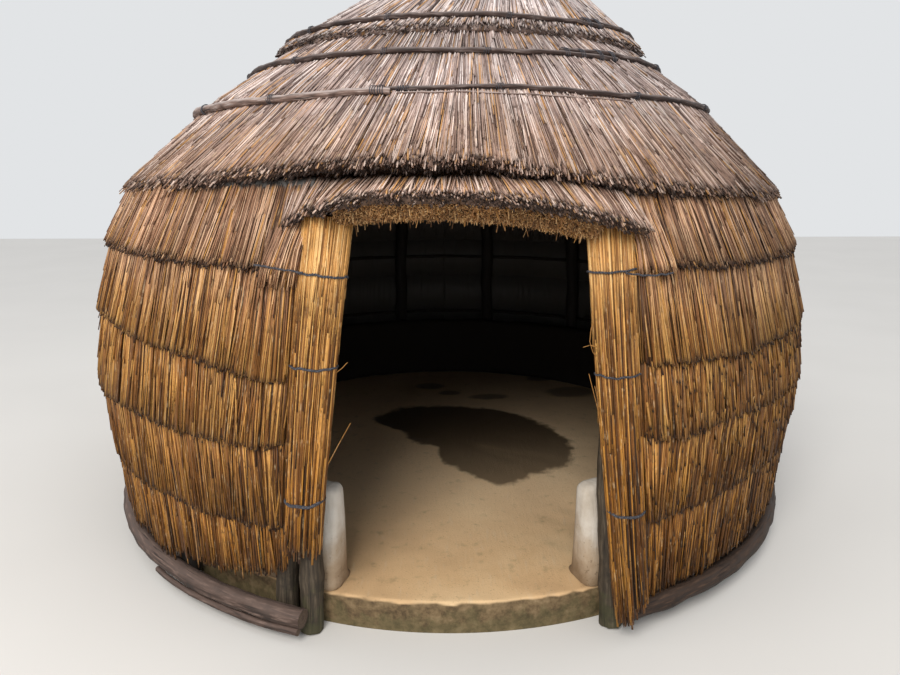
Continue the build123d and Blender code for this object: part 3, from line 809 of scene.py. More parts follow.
def roof_rings(turn):
    """Rings of the main roof course behind its stalks, down its outside and up its inside."""
    reach, sink = 0.010 - eave_reach(turn), 0.012
    outside = [(reach, -sink), (BENT, -sink), (roof_length, -sink)]
    inside = [(roof_length, -ROOF_DEPTH), (BENT, -ROOF_DEPTH), (reach + 0.055, -ROOF_DEPTH),
              (reach, -EAVE_DEPTH)]
    return np.stack([roof_skin(turn, along, lift) for along, lift in outside + inside], 1)


def roof_reeds(side):
    """Half of the main roof course: its body, long stalks from eave to cap, shorter ones with
    their butts anywhere, and the thick face of butts at the eave, with light ends over it."""
    rng = np.random.default_rng([11, side == "left"])
    start, end = (0.0, 180.0) if side == "right" else (-180.0, 0.0)
    shape = Shape()
    add_backing(shape, roof_rings, start, end, EAVE[0], rng)
    for depth, butt, dark_butt_and_shade, pitch in ROOF_LAYERS:
        turn = spread(rng, start, end, EAVE[0], pitch)
        reach = butt - eave_reach(turn)
        lay(shape, roof_skin, turn, EAVE[0], reach, 2 * BENT - reach, (-depth, -depth - 0.001), rng, dark_butt_and_shade,
            ragged=0.007, sway=0.5, bends=3)
    count = ROOF_SHORT
    turn = rng.uniform(start, end, count)
    foot = 0.02 + 0.84 * rng.uniform(0, 1, count) ** 1.15 - 0.5 * eave_reach(turn)
    lay(shape, roof_skin, turn, EAVE[0], foot, rng.uniform(0.22, 0.5, count), (0.0035, -0.007), rng)
    count = ROOF_BUTTS
    turn = (start + end) * rng.uniform(0, 1, count) ** 1.3
    depth = EAVE_DEPTH * rng.uniform(0, 1, count)
    light = (depth < 0.022) & (rng.uniform(0, 1, count) < 0.5)
    foot = -eave_reach(turn) + 0.010 * rng.uniform(-1, 1, count)
    foot = foot - np.where(light, rng.uniform(0.0, 0.022, count), 0.0)
    lay(shape, roof_skin, turn, EAVE[0], foot, 0.06, (-depth - 0.004, -depth), rng,
        np.where(light, 0.15, 1.0), sway=2.5)
    shape.build(f"roof_reeds_{side}", roof_reed, "roof_reed", f"roof_course_{side}")


for side in SIDES:
    roof_reeds(side)


# Cap and tuft
CAP_STEPS = metres_along(CAP[:, :2])
CAP_TILTS = (0.61, 0.63, 0.60, 0.54)
CAP_SHORT, CAP_BUTTS = 1900, 2600
# Depth, place of the butts and how dark they are (dark cut ends and painted shade), layer by layer
CAP_LAYERS = ((0.009, 0.0, 0.9), (0.004, 0.006, 0.8), (0.0, 0.014, 0.6))


def cap_skin(turn, along, lift):
    """The cap's cones in one: along runs from its butts over shoulder and neck to the peak."""
    radius, height, drift = (np.interp(along, CAP_STEPS, CAP[:, n]) for n in range(3))
    radius = np.where(along < 0, CAP[0, 0] - along * 0.81, radius)
    height = np.where(along < 0, CAP[0, 1] + along * 0.58, height)
    tilt = np.interp(along, CAP_STEPS, CAP_TILTS)
    points = around(radius + lift * np.sin(tilt), turn, height + lift * np.cos(tilt))
    points[..., 0] += drift
    return points


def cap_outline():
    """Rings of the cap's body: up its outside, a little in, and back down its inside."""
    outside = (0.008, 0.25, CAP_STEPS[1], 0.65, CAP_STEPS[2], CAP_STEPS[3] - 0.01)
    turn = np.linspace(-180, 180, 241)
    rings = [cap_skin(turn, along, -0.010) for along in outside]
    inside = ((0.115, 2.5722), (0.376, 2.3902), (ROOF_TOP, 2.2185), (0.866, 2.1290))
    rings += [around(r, turn, z) + np.array([ROOF_DRIFT * (z - EAVE[1]), 0, 0]) for r, z in inside]
    return np.stack(rings, 1)


def roof_cap():
    """The cap: its body, three layers of long stalks, shorter ones, and its face of butts."""
    rng = np.random.default_rng(21)
    shape = Shape()
    body = cap_outline()[:-1]
    body = body + 0.0016 * rng.normal(size=(len(body), 1, 1))
    # Low tones and dark marks paint the body dark: painted shade in the gaps between stalks.
    tone = rng.uniform(0, 0.6, len(body))[:, None]
    shape.add_tubes(body[None], stalk_marks(body.shape[:2], tone, dark_butt_and_shade=0.5), closed=True)
    for depth, butt, dark_butt_and_shade in CAP_LAYERS:
        turn = spread(rng, -180, 180, CAP[0, 0], 0.0050)
        lay(shape, cap_skin, turn, CAP[0, 0], butt, rng.uniform(0.50, 0.86, len(turn)), (-depth, -depth), rng,
            dark_butt_and_shade, ragged=0.010, sway=0.5, bends=4)
    count = CAP_SHORT
    turn = rng.uniform(-180, 180, count)
    foot = 0.02 + 0.72 * rng.uniform(0, 1, count) ** 1.5
    long = np.minimum(rng.uniform(0.16, 0.40, count), 0.93 - foot)
    lay(shape, cap_skin, turn, CAP[0, 0], foot, long, (0.005, -0.006), rng, sway=1.5, bends=3)
    count = CAP_BUTTS
    turn = rng.uniform(-180, 180, count)
    depth = CAP_DEPTH * rng.uniform(0, 1, count)
    lay(shape, cap_skin, turn, CAP[0, 0], 0.010 * rng.uniform(-1, 1, count), 0.05, (-depth, -depth), rng,
        rng.choice([1.0, 1.0, 0.4], count), sway=2.5)
    shape.build("cap_reeds", roof_reed, "roof_reed", "roof_cap")


# The tuft's radius from its foot up: its waist is at the tie
TUFT_HEIGHTS = (0.0, 0.040, 0.056, 0.120)
TUFT_RADII = (0.092, 0.062, 0.062, 0.095)
TUFT_STALKS = 0.075


def tuft_skin(turn, along, lift):
    """The bound tuft: narrow at its tie and flaring above it."""
    radius = np.interp(along, TUFT_HEIGHTS, TUFT_RADII) + lift
    points = around(radius, turn, CAP[3, 1] + along)
    points[..., 0] += CAP[3, 2]
    return points


def roof_tuft():
    """The tuft: a body whose top draws in to its middle, and stalks in five rings."""
    rng = np.random.default_rng(31)
    shape = Shape()
    turn = np.linspace(-180, 180, 49)[:-1]
    rings = [tuft_skin(turn, along, -0.006) for along in (0.001, 0.040, 0.056, 0.100)]
    middle = rings[-1].mean(0)
    rings += [0.6 * rings[-1] + 0.4 * middle, middle + 0.02 * (rings[-1] - middle)]
    body = np.stack(rings, 0)
    # Dark marks paint the tuft's body dark: painted shade in the gaps between stalks.
    shape.add_tubes(body[None], stalk_marks(body.shape[:2], dark_butt_and_shade=0.8))
    for depth in (0.004, 0.0, 0.016, 0.03, 0.045):
        turn = spread(rng, -180, 180, TUFT_STALKS - depth, 0.0055)
        lay(shape, tuft_skin, turn, TUFT_STALKS, 0.002, rng.uniform(0.085, 0.118, len(turn)),
            (-depth, -depth), rng, 0.5, ragged=0.0015, sway=2.0, bends=5)
    shape.build("tuft_reeds", roof_reed, "roof_reed", "roof_tuft")


roof_cap()
roof_tuft()


# Doorway
CANOPY_ENDS = (-21.5, 20.35)
CANOPY_FRONT = 1.4986
CANOPY_REACH = 1.69
# Height of the canopy's upper edge against the top course, and the height and radius of its tip
EDGE_TURNS = (-22, -14, -10, 8, 16, 21)
EDGE_RISES = (-0.016, 0.010, 0.022, 0.022, 0.006, -0.016)
TIP_TURNS = (-21.5, -18.9, -17.5, -12.3, -9.6, -1.6, 5.3, 11.7, 19.5, 20.35)
TIP_HEIGHTS = (1.440, 1.474, 1.494, 1.535, 1.548, 1.5520, 1.538, 1.505, 1.446, 1.438)
TIP_RADII = (1.586, 1.622, 1.648, 1.686, 1.690, 1.690, 1.690, 1.690, 1.672, 1.664)
# Turns between which the canopy thins out to the left
THIN_TURNS = (-21.5, -17.0, -12.0)
CANOPY_BUTTS = 1700
# Depth, place of the butts and how dark they are (dark cut ends and painted shade), layer by layer
CANOPY_LAYERS = ((0.010, -0.004, 1.0), (0.005, 0.001, 0.8), (0.0, 0.006, 0.6))


def canopy_corners(turn):
    """The canopy's edge below the eave, tip, butt and root at the plate, and its fall."""
    edge = (1.5192, 1.5758 + np.interp(turn, EDGE_TURNS, EDGE_RISES))
    tip = (np.interp(turn, TIP_TURNS, TIP_RADII), np.interp(turn, TIP_TURNS, TIP_HEIGHTS))
    fall = np.arctan2(edge[1] - tip[1], tip[0] - edge[0])
    thick = np.interp(turn, THIN_TURNS, (0.012, 0.030, 0.038))
    butt = (tip[0] - thick * np.sin(fall), tip[1] - thick * np.cos(fall))
    return edge, tip, butt, (CANOPY_FRONT, butt[1] + 0.02), fall


def canopy_skin(turn, along, lift):
    """The canopy's top: along runs up from its tip, and lift is square to it."""
    _, tip, _, _, fall = canopy_corners(turn)
    radius = tip[0] - along * np.cos(fall) + lift * np.sin(fall)
    return around(radius, turn, tip[1] + along * np.sin(fall) + lift * np.cos(fall))


def canopy_outline(turn):
    """The canopy's corners, drawn in a little behind its stalks."""
    edge, tip, butt, root, _ = canopy_corners(turn)
    corners = [(edge[0], edge[1] - 0.008), (tip[0] - 0.010, tip[1] - 0.009)]
    corners += [(butt[0] - 0.010, butt[1] + 0.002), root]
    corners += [(root[0], np.maximum(edge[1] - 0.006, root[1] + 0.001))]
    return outline_of(corners, turn)


def door_canopy():
    """A lip of thatch over the doorway, which runs into the top course on the left."""
    rng = np.random.default_rng(41)
    start, end = CANOPY_ENDS
    shape = Shape()
    add_backing(shape, canopy_outline, start, end, CANOPY_REACH, rng)
    for depth, butt, dark_butt_and_shade in CANOPY_LAYERS:
        turn = spread(rng, start - 0.2, end + 0.2, CANOPY_REACH, 0.0044)
        lay(shape, canopy_skin, turn, CANOPY_REACH, butt, 0.185, (-depth, -depth - 0.004), rng, dark_butt_and_shade,
            sway=1.5, bends=3)
    count = CANOPY_BUTTS
    turn = rng.uniform(start, end + 0.3, count)
    depth = np.interp(turn, THIN_TURNS, (0.014, 0.030, 0.040)) * rng.uniform(0, 1, count)
    light = (depth < 0.016) & (rng.uniform(0, 1, count) < 0.3)
    foot = 0.010 * rng.uniform(-1, 1, count) - np.where(light, 0.010, 0.0)
    lay(shape, canopy_skin, turn, CANOPY_REACH, foot, 0.05, (-depth, -depth), rng,
        np.where(light, 0.2, 1.0), sway=3.0)
    shape.build("canopy_reeds", canopy_reed, "roof_reed", "door_canopy")


SOFFIT_ENDS = (-13.5, 14.2)
SOFFIT_STRAWS = 4600
SOFFIT_REACH = 1.655
# Steps in from the soffit's corners to those of the body behind its straw
SOFFIT_INSETS = np.array([(-0.008, 0.0), (-0.004, 0.008), (0.0, 0.006), (0.0, 0.0)])


def soffit_outline(turn):
    """The soffit's corners: below the canopy's butt, its lip, its foot and its root."""
    _, _, butt, root, _ = canopy_corners(turn)
    return outline_of([(SOFFIT_REACH, butt[1] + 0.006), (SOFFIT_REACH - 0.040, butt[1] - 0.040),
                       (root[0], butt[1] - 0.052), root], turn)


def door_soffit():
    """Short straw packed below the canopy: a body hidden by bits that point every way, most
    of them out and down, and a few long wisps that hang."""
    rng = np.random.default_rng(51)
    shape = Shape()
    start, end = SOFFIT_ENDS
    add_backing(shape, lambda turn: soffit_outline(turn) + SOFFIT_INSETS, start, end, 1.62, rng, 0.008)
    count = SOFFIT_STRAWS
    turn = rng.uniform(start - 0.5, end + 0.5, count)
    corners = soffit_outline(turn)
    share = rng.uniform(0, 1, count)
    part = np.where(rng.uniform(0, 1, count) < 0.68, 0, 1)
    base = corners[np.arange(count), part]
    place = base + (corners[np.arange(count), part + 1] - base) * share[:, None]
    middle = around(place[:, 0] - 0.004, turn, place[:, 1])
    aim = unit(rng.normal(size=(count, 3)) * 0.75 + around(1.0, turn, 0.0) * 0.55 + np.array([0, 0, -0.35]))
    wisp = rng.uniform(0, 1, count) < 0.02
    aim = np.where(wisp[:, None], unit(aim * 0.4 + np.array([0, 0, -1.0])), aim)
    long = rng.uniform(0.008, 0.026, count) * np.where(wisp, 2.6, 1.0)
    line = middle[:, None] + aim[:, None] * (long[:, None, None] * np.array([-0.5, 0.6])[None, :, None])
    out, radius = rng.normal(size=(count, 1, 3)), rng.uniform(0.0009, 0.0020, (count, 1, 1))
    corners = ring_corners(line, out, radius, 3)
    tone = rng.uniform(0, 1, count)[:, None, None]
    shape.add_tubes(corners, stalk_marks(corners.shape[:3], tone, 0.1, 0.2))
    shape.build("soffit_straw", straw, "straw", "door_soffit")


def jamb_skin(side):
    """Skin of a door bundle: turn goes round its oval from the side away from the hut, along
    is a height, and lift is square to it."""
    way = SIDES[side]
    facing = math.radians((DOOR_ANGLE + (JAMB_TURNS[side][0] + JAMB_TURNS[side][1]) / 2) * way)
    across = np.array([math.cos(facing), math.sin(facing), 0.0])
    inwards = np.array([-math.sin(facing), math.cos(facing), 0.0])

    def skin(turn, along, lift):
        centre, half, thick = jamb_lengthwise(along, side)
        wide, deep = (half + lift) * np.sin(np.radians(turn)), (thick + lift) * np.cos(np.radians(turn))
        return centre * np.array([way, 1, 1]) + wide[..., None] * across - deep[..., None] * inwards

    return skin


# Foot and top of the door bundles' reeds, and how many have their butts part way up
JAMB_ENDS = {"left": (0.385, 1.475), "right": (0.125, 1.460)}
JAMB_SHORT = 420
# Wisps that stand out of the door bundles: turn round the bundle, height and lift along each
WISPS = {
    "left": (((88, 0.655, -0.005), (90, 0.745, 0.034), (92, 0.825, 0.070)),
             ((95, 0.985, 0.004), (95, 1.000, 0.022), (95, 1.020, 0.038))),
    "right": (((-90, 1.155, -0.004), (-90, 1.120, 0.014), (-90, 1.080, 0.022), (-90, 1.045, 0.014),
               (-90, 1.015, -0.004)),
              ((-90, 0.730, -0.004), (-90, 0.860, 0.012), (-90, 0.975, 0.034)),
              ((-80, 0.790, -0.004), (-82, 0.870, 0.010), (-85, 0.935, 0.020)),
              ((-84, 1.060, -0.003), (-90, 1.068, 0.022), (-93, 1.062, 0.046))),
}


def door_jamb(side):
    """A door bundle: long reeds all round its oval, some with their butts part way up."""
    rng = np.random.default_rng([61, side == "left"])
    skin = jamb_skin(side)
    low, top = JAMB_ENDS[side]
    shape = Shape()
    turn = np.linspace(-180, 180, 65)[:-1]
    heights = np.linspace(low + 0.03, top - 0.01, 12)
    body = skin(*np.broadcast_arrays(turn, heights[:, None]), -0.009)
    shape.add_tubes(body[None], stalk_marks(body.shape[:2], 0.1, 0.3, 0.3))
    for depth in (0.0075, 0.0035, 0.0):
        turn = spread(rng, -180, 180, JAMB_HALVES[0], 0.0047)
        count = len(turn)
        foot = low + 0.014 * rng.normal(size=count) + 0.012 * wander(turn, 60, rng)
        if side == "right":
            foot = foot - np.where(np.abs(turn + 50) < 45, rng.uniform(0, 0.030, count), 0.0)
            foot = foot + 0.045 * (0.5 + 0.5 * np.sin(np.radians(turn)))
        lifts = (-depth + 0.0012 * rng.normal(size=count), -depth)
        swing, bow = 3.0 * rng.normal(size=count), 0.002 * rng.normal(size=count)
        add_stalks(shape, skin, turn, foot, top, lifts, swing, 0.0031, 0.25, rng, 6, bow)
    count = JAMB_SHORT
    turn = rng.uniform(-180, 180, count)
    foot = low + (top - low) * rng.uniform(0.0, 0.8, count)
    head = np.minimum(foot + rng.uniform(0.15, 0.6, count), top)
    lifts = (0.003 + 0.001 * rng.normal(size=count), -0.003)
    add_stalks(shape, skin, turn, foot, head, lifts, 5.0 * rng.normal(size=count), 0.0029, 0.25, rng, 4)
    for path in WISPS[side]:
        share, rings = np.linspace(0, 1, len(path)), np.linspace(0, 1, 9)
        turn, height, lift = (np.interp(rings, share, values)[None] for values in zip(*path))
        line = skin(turn, height, lift)
        width = np.linspace(0.0018, 0.0010, 9)[None, :, None]
        corners = ring_corners(line, line - skin(turn, height, lift - 0.01), width, 3)
        shape.add_tubes(corners, stalk_marks(corners.shape[:3], rng.uniform(0.5, 1.0), 0.2, 0.2))
    shape.build(f"jamb_reeds_{side}", golden_reed, "golden_reed", f"door_jamb_{side}")


door_canopy()
door_soffit()
for side in SIDES:
    door_jamb(side)


# Branches and cords
def add_limb(shape, line, radius, rng, out=(0, 0, 1), sides=12, lumps=0.05, closed=False):
    """A branch about a line: its radius swells and shrinks round it and along it, and each
    cut end is three rings that step in to its middle."""
    along = metres_along(line)
    angle = np.arange(sides) * 2 * np.pi / sides
    mean = float(np.mean(radius))
    lengthwise, round_it, twice = along[:, None], np.cos(angle)[None, :], np.sin(2 * angle)[None, :]
    swell = 0.5 * wander(along, 0.23, rng)[:, None] + 0.7 * wander(lengthwise + 0.25 * round_it + 7, 0.3, rng)
    swell = swell + 0.35 * wander(lengthwise * 0.5 + 0.07 * twice + 3, 0.07, rng)
    width = np.broadcast_to(radius, along.shape)[:, None] * (1 + lumps * swell)
    if closed:
        fade = np.clip(np.minimum(along, along[-1] - along) / 0.2, 0, 1)[:, None]
        width = mean + (width - mean) * fade
        line, width, along = line[:-1], width[:-1], along[:-1]
    out = np.broadcast_to(np.asarray(out, float), line.shape)
    corners = ring_corners(line[None], out[None], width[None], sides)[0]
    up = unit(corners - line[:, None])[..., 2]
    marks = np.stack(np.broadcast_arrays(mean * angle[None, :], along[:, None], up), -1)
    if not closed:
        shares = np.array([0.06, 0.5, 0.93])[:, None]
        for end, inwards in ((0, shares), (-1, shares[::-1])):
            ring = line[end] + (corners[end] - line[end]) * inwards[..., None]
            mark = np.stack(np.broadcast_arrays(mean * inwards + 0 * angle, along[end], 3.0), -1)
            corners = np.concatenate([corners, ring] if end else [ring, corners])
            marks = np.concatenate([marks, mark] if end else [mark, marks])
    shape.add_tubes(corners[None], marks, closed)


def add_twist(shape, line, out, strands=2, strand=0.0019, lay_length=0.016):
    """Cord of several strands: each winds round the line, a strand's radius from it."""
    along = metres_along(line)
    fine = np.linspace(0, along[-1], max(int(along[-1] / 0.0035), 8))
    line, out = (np.stack([np.interp(fine, along, path[:, n]) for n in range(3)], -1) for path in (line, out))
    first, second = crosswise(line, out)
    for n in range(strands):
        angle = (2 * np.pi * (fine / lay_length + n / strands))[:, None]
        path = line + strand * max(1.05, strands / math.pi) * (np.cos(angle) * first + np.sin(angle) * second)
        shape.add_tubes(ring_corners(path[None], out[None], strand, 6))


def poles(piece, node, turns, seed):
    """Leaning poles of uneven thickness, cut level at the ground and below the plate."""
    rng = np.random.default_rng(seed)
    shape = Shape()
    for turn in turns:
        height = np.linspace(0.0045, POST_TOP, 30)
        line = around(POST_MIDDLE - LEAN * height, turn, height)
        bend = np.stack([wander(height, 0.8, rng), wander(height, 0.8, rng)], -1)
        line[:, :2] += 0.0035 * bend * np.sin(np.pi * height / POST_TOP)[:, None]
        add_limb(shape, line, POST_RADIUS * 0.97, rng, (1, 0, 0), 16, 0.045)
    shape.build(piece, pole_wood, "pole_wood", node, grain=True)


def arc(radius, height, start, end, rng, step=0.03, sway=0.002):
    """Line that goes round the hut at a radius and height and wanders a little."""
    turn = np.linspace(start, end, max(int(math.radians(end - start) * radius / step), 8))
    place = np.radians(turn) * radius
    sway = 0.0 if end - start == 360 else sway
    return around(radius + sway * wander(place, 0.9, rng), turn, height + sway * wander(place, 0.9, rng))


POST_STEP = (360 - 2 * DOOR_ANGLE) / (POST_COUNT - 1)
wall_turns = [DOOR_ANGLE + POST_STEP * n for n in range(1, POST_COUNT // 2)]
poles("front_pole_right", "door_post_right", [DOOR_POST], 71)
poles("front_pole_left", "door_post_left", [-DOOR_POST], 72)
poles("wall_poles_right", "wall_posts_right", wall_turns, 73)
poles("wall_poles_left", "wall_posts_left", [*(-turn for turn in wall_turns), -SIDE_POST], 74)


# Turns of the rafters to each side and their radius at foot and head, and the laths' places
RAFTER_TURNS = range(15, 180, 30)
RAFTER_RADII = (0.0248, 0.0225)
LATH_PLACES = (1.300, 1.050, 0.800)
LATH_RADIUS = 0.0097


def frame_poles():
    """Plate, rails, rafters, laths and hub: the poles inside the thatch."""
    rng = np.random.default_rng(75)
    shape = Shape()
    add_limb(shape, arc(*PLATE, 0, 360, rng), PLATE_RADIUS * 0.98, rng, sides=14, closed=True)
    shape.build("plate_pole", rafter_wood, "pole_wood", "wall_plate", grain=True)
    for level, height in RAIL_HEIGHTS.items():
        shape = Shape()
        radius = reed_back(height) - RAIL_RADIUS * 1.005 - GAP
        line = arc(radius, height, DOOR_ANGLE + 0.3, 360 - DOOR_ANGLE - 0.3, rng, 0.05, 0.0008)
        add_limb(shape, line, RAIL_RADIUS * 0.95, rng, sides=7, lumps=0.06)
        shape.build(f"rail_sapling_{level}", rafter_wood, "sapling_bark", f"wall_rail_{level}", grain=True)
    for side in ("right", "left"):
        shape = Shape()
        for turn in RAFTER_TURNS:
            radius = np.linspace(1.482, 0.108, 24)
            line = around(radius, SIDES[side] * turn, under_roof(radius, RAFTER_DEPTH))
            add_limb(shape, line, np.linspace(*RAFTER_RADII, 24), rng, sides=10, lumps=0.04)
        shape.build(f"rafter_poles_{side}", rafter_wood, "rafter_wood", f"rafters_{side}", grain=True)
    for number, place in enumerate(LATH_PLACES):
        shape = Shape()
        line = arc(place, under_roof(place, LATH_DEPTH), 0, 360, rng, 0.06)
        add_limb(shape, line, LATH_RADIUS, rng, sides=7, lumps=0.04, closed=True)
        node = f"roof_lath_{number + 1}"
        shape.build(f"lath_sapling_{number + 1}", rafter_wood, "sapling_bark", node, grain=True)
    shape = Shape()
    line = np.zeros((9, 3))
    line[:, 2] = under_roof(HUB_RADIUS, RAFTER_DEPTH) + np.linspace(-0.031, 0.031, 9)
    radius = 0.99 * np.array([0.94, 0.99, 1, 1, 1, 1, 1, 0.99, 0.94]) * HUB_RADIUS
    add_limb(shape, line, radius, rng, (1, 0, 0), 36, 0.01)
    shape.build("hub_block", rafter_wood, "rafter_wood", "rafter_hub", grain=True)


# Radius and height of the ground poles' middle and of the thin pole below the left one
GROUND_POLE = (1.6708, 0.095)
GROUND_SAPLING = (1.6928, 0.052)


def ground_poles():
    """Bark-covered poles along the foot of the posts, with cut ends at the doorway."""
    rng = np.random.default_rng(76)
    end = DOOR_ANGLE + 1.2
    for side, ends, finish in (("right", (end, 179.9), shaded_bark), ("left", (-179.9, -end), shaded_ground_bark)):
        shape = Shape()
        add_limb(shape, arc(*GROUND_POLE, *ends, rng, sway=0.0015), 0.0345, rng, sides=16)
        shape.build(f"ground_pole_{side}", finish, "pole_wood", f"ground_rail_{side}", grain=True)
    shape = Shape()
    line = arc(*GROUND_SAPLING, -45.8, -19.8, rng, sway=0.001)
    add_limb(shape, line, np.linspace(0.0105, 0.0135, 25), rng)
    shape.build("ground_sapling", shaded_ground_bark, "sapling_bark", "ground_lath", grain=True)


# Hoops on the roof
# Skin, place along it, and the turns from start to end at which a sapling has its radii
HOOPS = {
    "roof_hoop_1_left": (roof_skin, up_roof(1.240), (-207, -90, -62, -40, -12),
                         (0.012, 0.015, 0.0170, 0.0140, 0.0115)),
    "roof_hoop_1_right": (roof_skin, up_roof(1.217), (-17, -8, 30, 90, 162),
                          (0.0060, 0.0080, 0.0095, 0.012, 0.010)),
    "roof_hoop_2_left": (roof_skin, up_roof(1.000), (-168, -60, 0, 37), (0.010, 0.0120, 0.0100, 0.0080)),
    "roof_hoop_2_right": (roof_skin, up_roof(0.975), (21, 40, 120, 198), (0.0080, 0.0105, 0.011, 0.010)),
    "roof_hoop_3_left": (cap_skin, 0.050, (-219, -90, -20, 41), (0.010, 0.0125, 0.0105, 0.009)),
    "roof_hoop_3_right": (cap_skin, 0.084, (33, 60, 150), (0.0070, 0.0100, 0.011)),
}
# Turns of the cords round two saplings that overlap, or round one
LASHINGS = (
    ("roof_hoop_1_left", "roof_hoop_1_right", (-14.8, -13.6)),
    ("roof_hoop_1_right", None, (-10.8, -9.9, 5.1, 31, 58, 92, 128)),
    ("roof_hoop_1_left", None, (-34, -57, -85, -120, -156, -190)),
    ("roof_hoop_2_left", "roof_hoop_2_right", (22.2, 26.5, 31.5, 35.8)),
    ("roof_hoop_2_left", None, (-18, -42, 4, -75, -110, -150)),
    ("roof_hoop_2_right", None, (60, 95, 130, 165, 192)),
    ("roof_hoop_3_left", "roof_hoop_3_right", (35.0, 39.0)),
    ("roof_hoop_3_left", None, (-50, -22, 10, -95, -140, -185)),
    ("roof_hoop_3_right", None, (75, 120)),
)


def hoop_line(skin, along, turns, radii, rng, sway=0.0035):
    """Line of a sapling that rests on a skin, as high above it as the sapling is thick."""
    start, end = turns[0], turns[-1]
    turn = np.linspace(start, end, int(abs(end - start) / 1.6) + 2)
    place = np.radians(turn) * 1.1
    radius = np.interp(turn, turns, radii)
    wavy = sway * wander(place, 0.7, rng) + 0.15 * sway * wander(place, 0.2, rng)
    return skin(turn, along + wavy, radius + 0.0015 + 0.0012 * wander(place, 0.2, rng)), radius, turn


# Thin sticks on the roof, and how far each wanders
STICKS = (
    ((roof_skin, up_roof(1.238), (-11, 30), (0.0035, 0.0025)), 0.003),
    ((cap_skin, 0.066, (12, 30), (0.004, 0.003)), 0.004),
)
# Share of the way from the cap's shoulder to its neck at which the top hoop lies
TOP_HOOP = 0.42


def hoops():
    """The saplings, two to a hoop but for the top one, and the cord that ties them."""
    rng = np.random.default_rng(81)
    lines = {}
    for node, run in HOOPS.items():
        shape = Shape()
        lines[node] = line, radius, _ = hoop_line(*run, rng)
        add_limb(shape, line, radius, rng, sides=10)
        bark = sapling_bark if node == "roof_hoop_1_left" else dark_sapling
        shape.build(node.replace("roof_hoop", "hoop_sapling"), bark, "sapling_bark", node, grain=True)
    shape = Shape()
    top = CAP_STEPS[1] + TOP_HOOP * (CAP_STEPS[2] - CAP_STEPS[1])
    line = cap_skin(np.linspace(0, 360, 121), top, 0.0155)
    add_limb(shape, line, 0.0115, rng, sides=10, closed=True)
    shape.build("hoop_sapling_4", dark_sapling, "sapling_bark", "roof_hoop_4", grain=True)
    shape = Shape()
    for run, sway in STICKS:
        line, radius, _ = hoop_line(*run, rng, sway)
        add_limb(shape, line, radius, rng, sides=6, lumps=0.1)
    shape.build("thin_sticks", sapling_bark, "sapling_bark", grain=True)
    shape = Shape()
    for lower, upper, turns in LASHINGS:
        for at in turns:
            add_lashing(shape, [lines[node] for node in (lower, upper) if node], at, rng)
    shape.build("hoop_lashings", tie_cord, "tie_cord", grain=True)


def add_lashing(shape, saplings, at, rng):
    """Three tight turns of cord round one sapling, or round two that lie together: an oval
    carried along the sapling."""
    ends = []
    for line, radius, turn in saplings:
        middle, ahead = (np.array([np.interp(t, turn, line[:, n]) for n in range(3)]) for t in (at, at + 1))
        ends.append((middle, unit(ahead - middle), float(np.interp(at, turn, radius))))
    middles, axes, radii = zip(*ends)
    middle, axis, thick = sum(middles) / len(ends), axes[0], max(radii)
    flat, apart = np.cross(axis, (0, 0, 1.0)), 0.0
    if len(ends) == 2:
        flat = middles[1] - middles[0]
        apart = float(np.linalg.norm(flat)) / 2
    flat = unit(flat - (flat @ axis) * axis)
    square = np.cross(axis, flat)
    angle = np.linspace(0, 6 * np.pi, 46)[:, None]
    wide, high = apart + thick * 1.1 + 0.002, thick * 1.1 + 0.0015
    line = middle + wide * np.cos(angle) * flat + high * np.sin(angle) * square
    line = line + axis * (0.0042 * (angle / np.pi - 3) + 0.0012 * rng.normal())
    out = np.cos(angle) * flat + np.sin(angle) * square
    shape.add_tubes(ring_corners(line[None], out[None], 0.0016, 4))


# Ties round the door bundles: height, drop to the doorway, sag, strands and a strand's radius
TIES = {
    "left": ((1.298, 0.026, 0.0, 2, 0.0023), (1.003, 0.0, 0.0, 3, 0.0022),
             (0.552, -0.012, 0.005, 5, 0.0022)),
    "right": ((1.305, 0.012, 0.0, 2, 0.0021), (0.966, -0.008, 0.0, 2, 0.0021),
              (0.494, -0.010, 0.006, 4, 0.0021)),
}
# Turn, radius and height along the cord that runs on over the reeds beside each bundle
TIE_ENDS = {
    "left": ((-23.2, 1.665, 1.327), (-21.2, 1.662, 1.319), (-19.6, 1.655, 1.313), (-17.6, 1.646, 1.305)),
    "right": ((17.8, 1.646, 1.300), (19.6, 1.660, 1.292), (21.4, 1.668, 1.290), (23.6, 1.668, 1.294)),
}
# How far round a bundle its ties go, to each side
TIE_TURN = 118


def jamb_ties(side):
    """Cords that lie on a bundle's skin, from one side of its back round to the other."""
    rng = np.random.default_rng([91, side == "left"])
    skin = jamb_skin(side)
    shape = Shape()
    for height, inner_drop, sag, strands, strand in TIES[side]:
        turn = np.linspace(-TIE_TURN, TIE_TURN, 90)
        inner = -SIDES[side] * turn / TIE_TURN
        level = height - 0.5 * inner_drop * inner - sag * np.cos(np.radians(turn))
        level = level + 0.0015 * wander(turn, 60, rng)
        line = skin(turn, level, 0.0052)
        add_twist(shape, line, line - skin(turn, level, 0.0), strands, strand, 0.010 * strands)
    share = np.linspace(0, 1, 30)
    turn, radius, height = (np.interp(share, np.linspace(0, 1, 4), values) for values in zip(*TIE_ENDS[side]))
    line = around(radius, turn, height + 0.001 * wander(turn, 1.5, rng))
    add_twist(shape, line, around(1.0, turn, 0.0))
    shape.build(f"jamb_cords_{side}", tie_cord, "tie_cord", f"jamb_ties_{side}", grain=True)


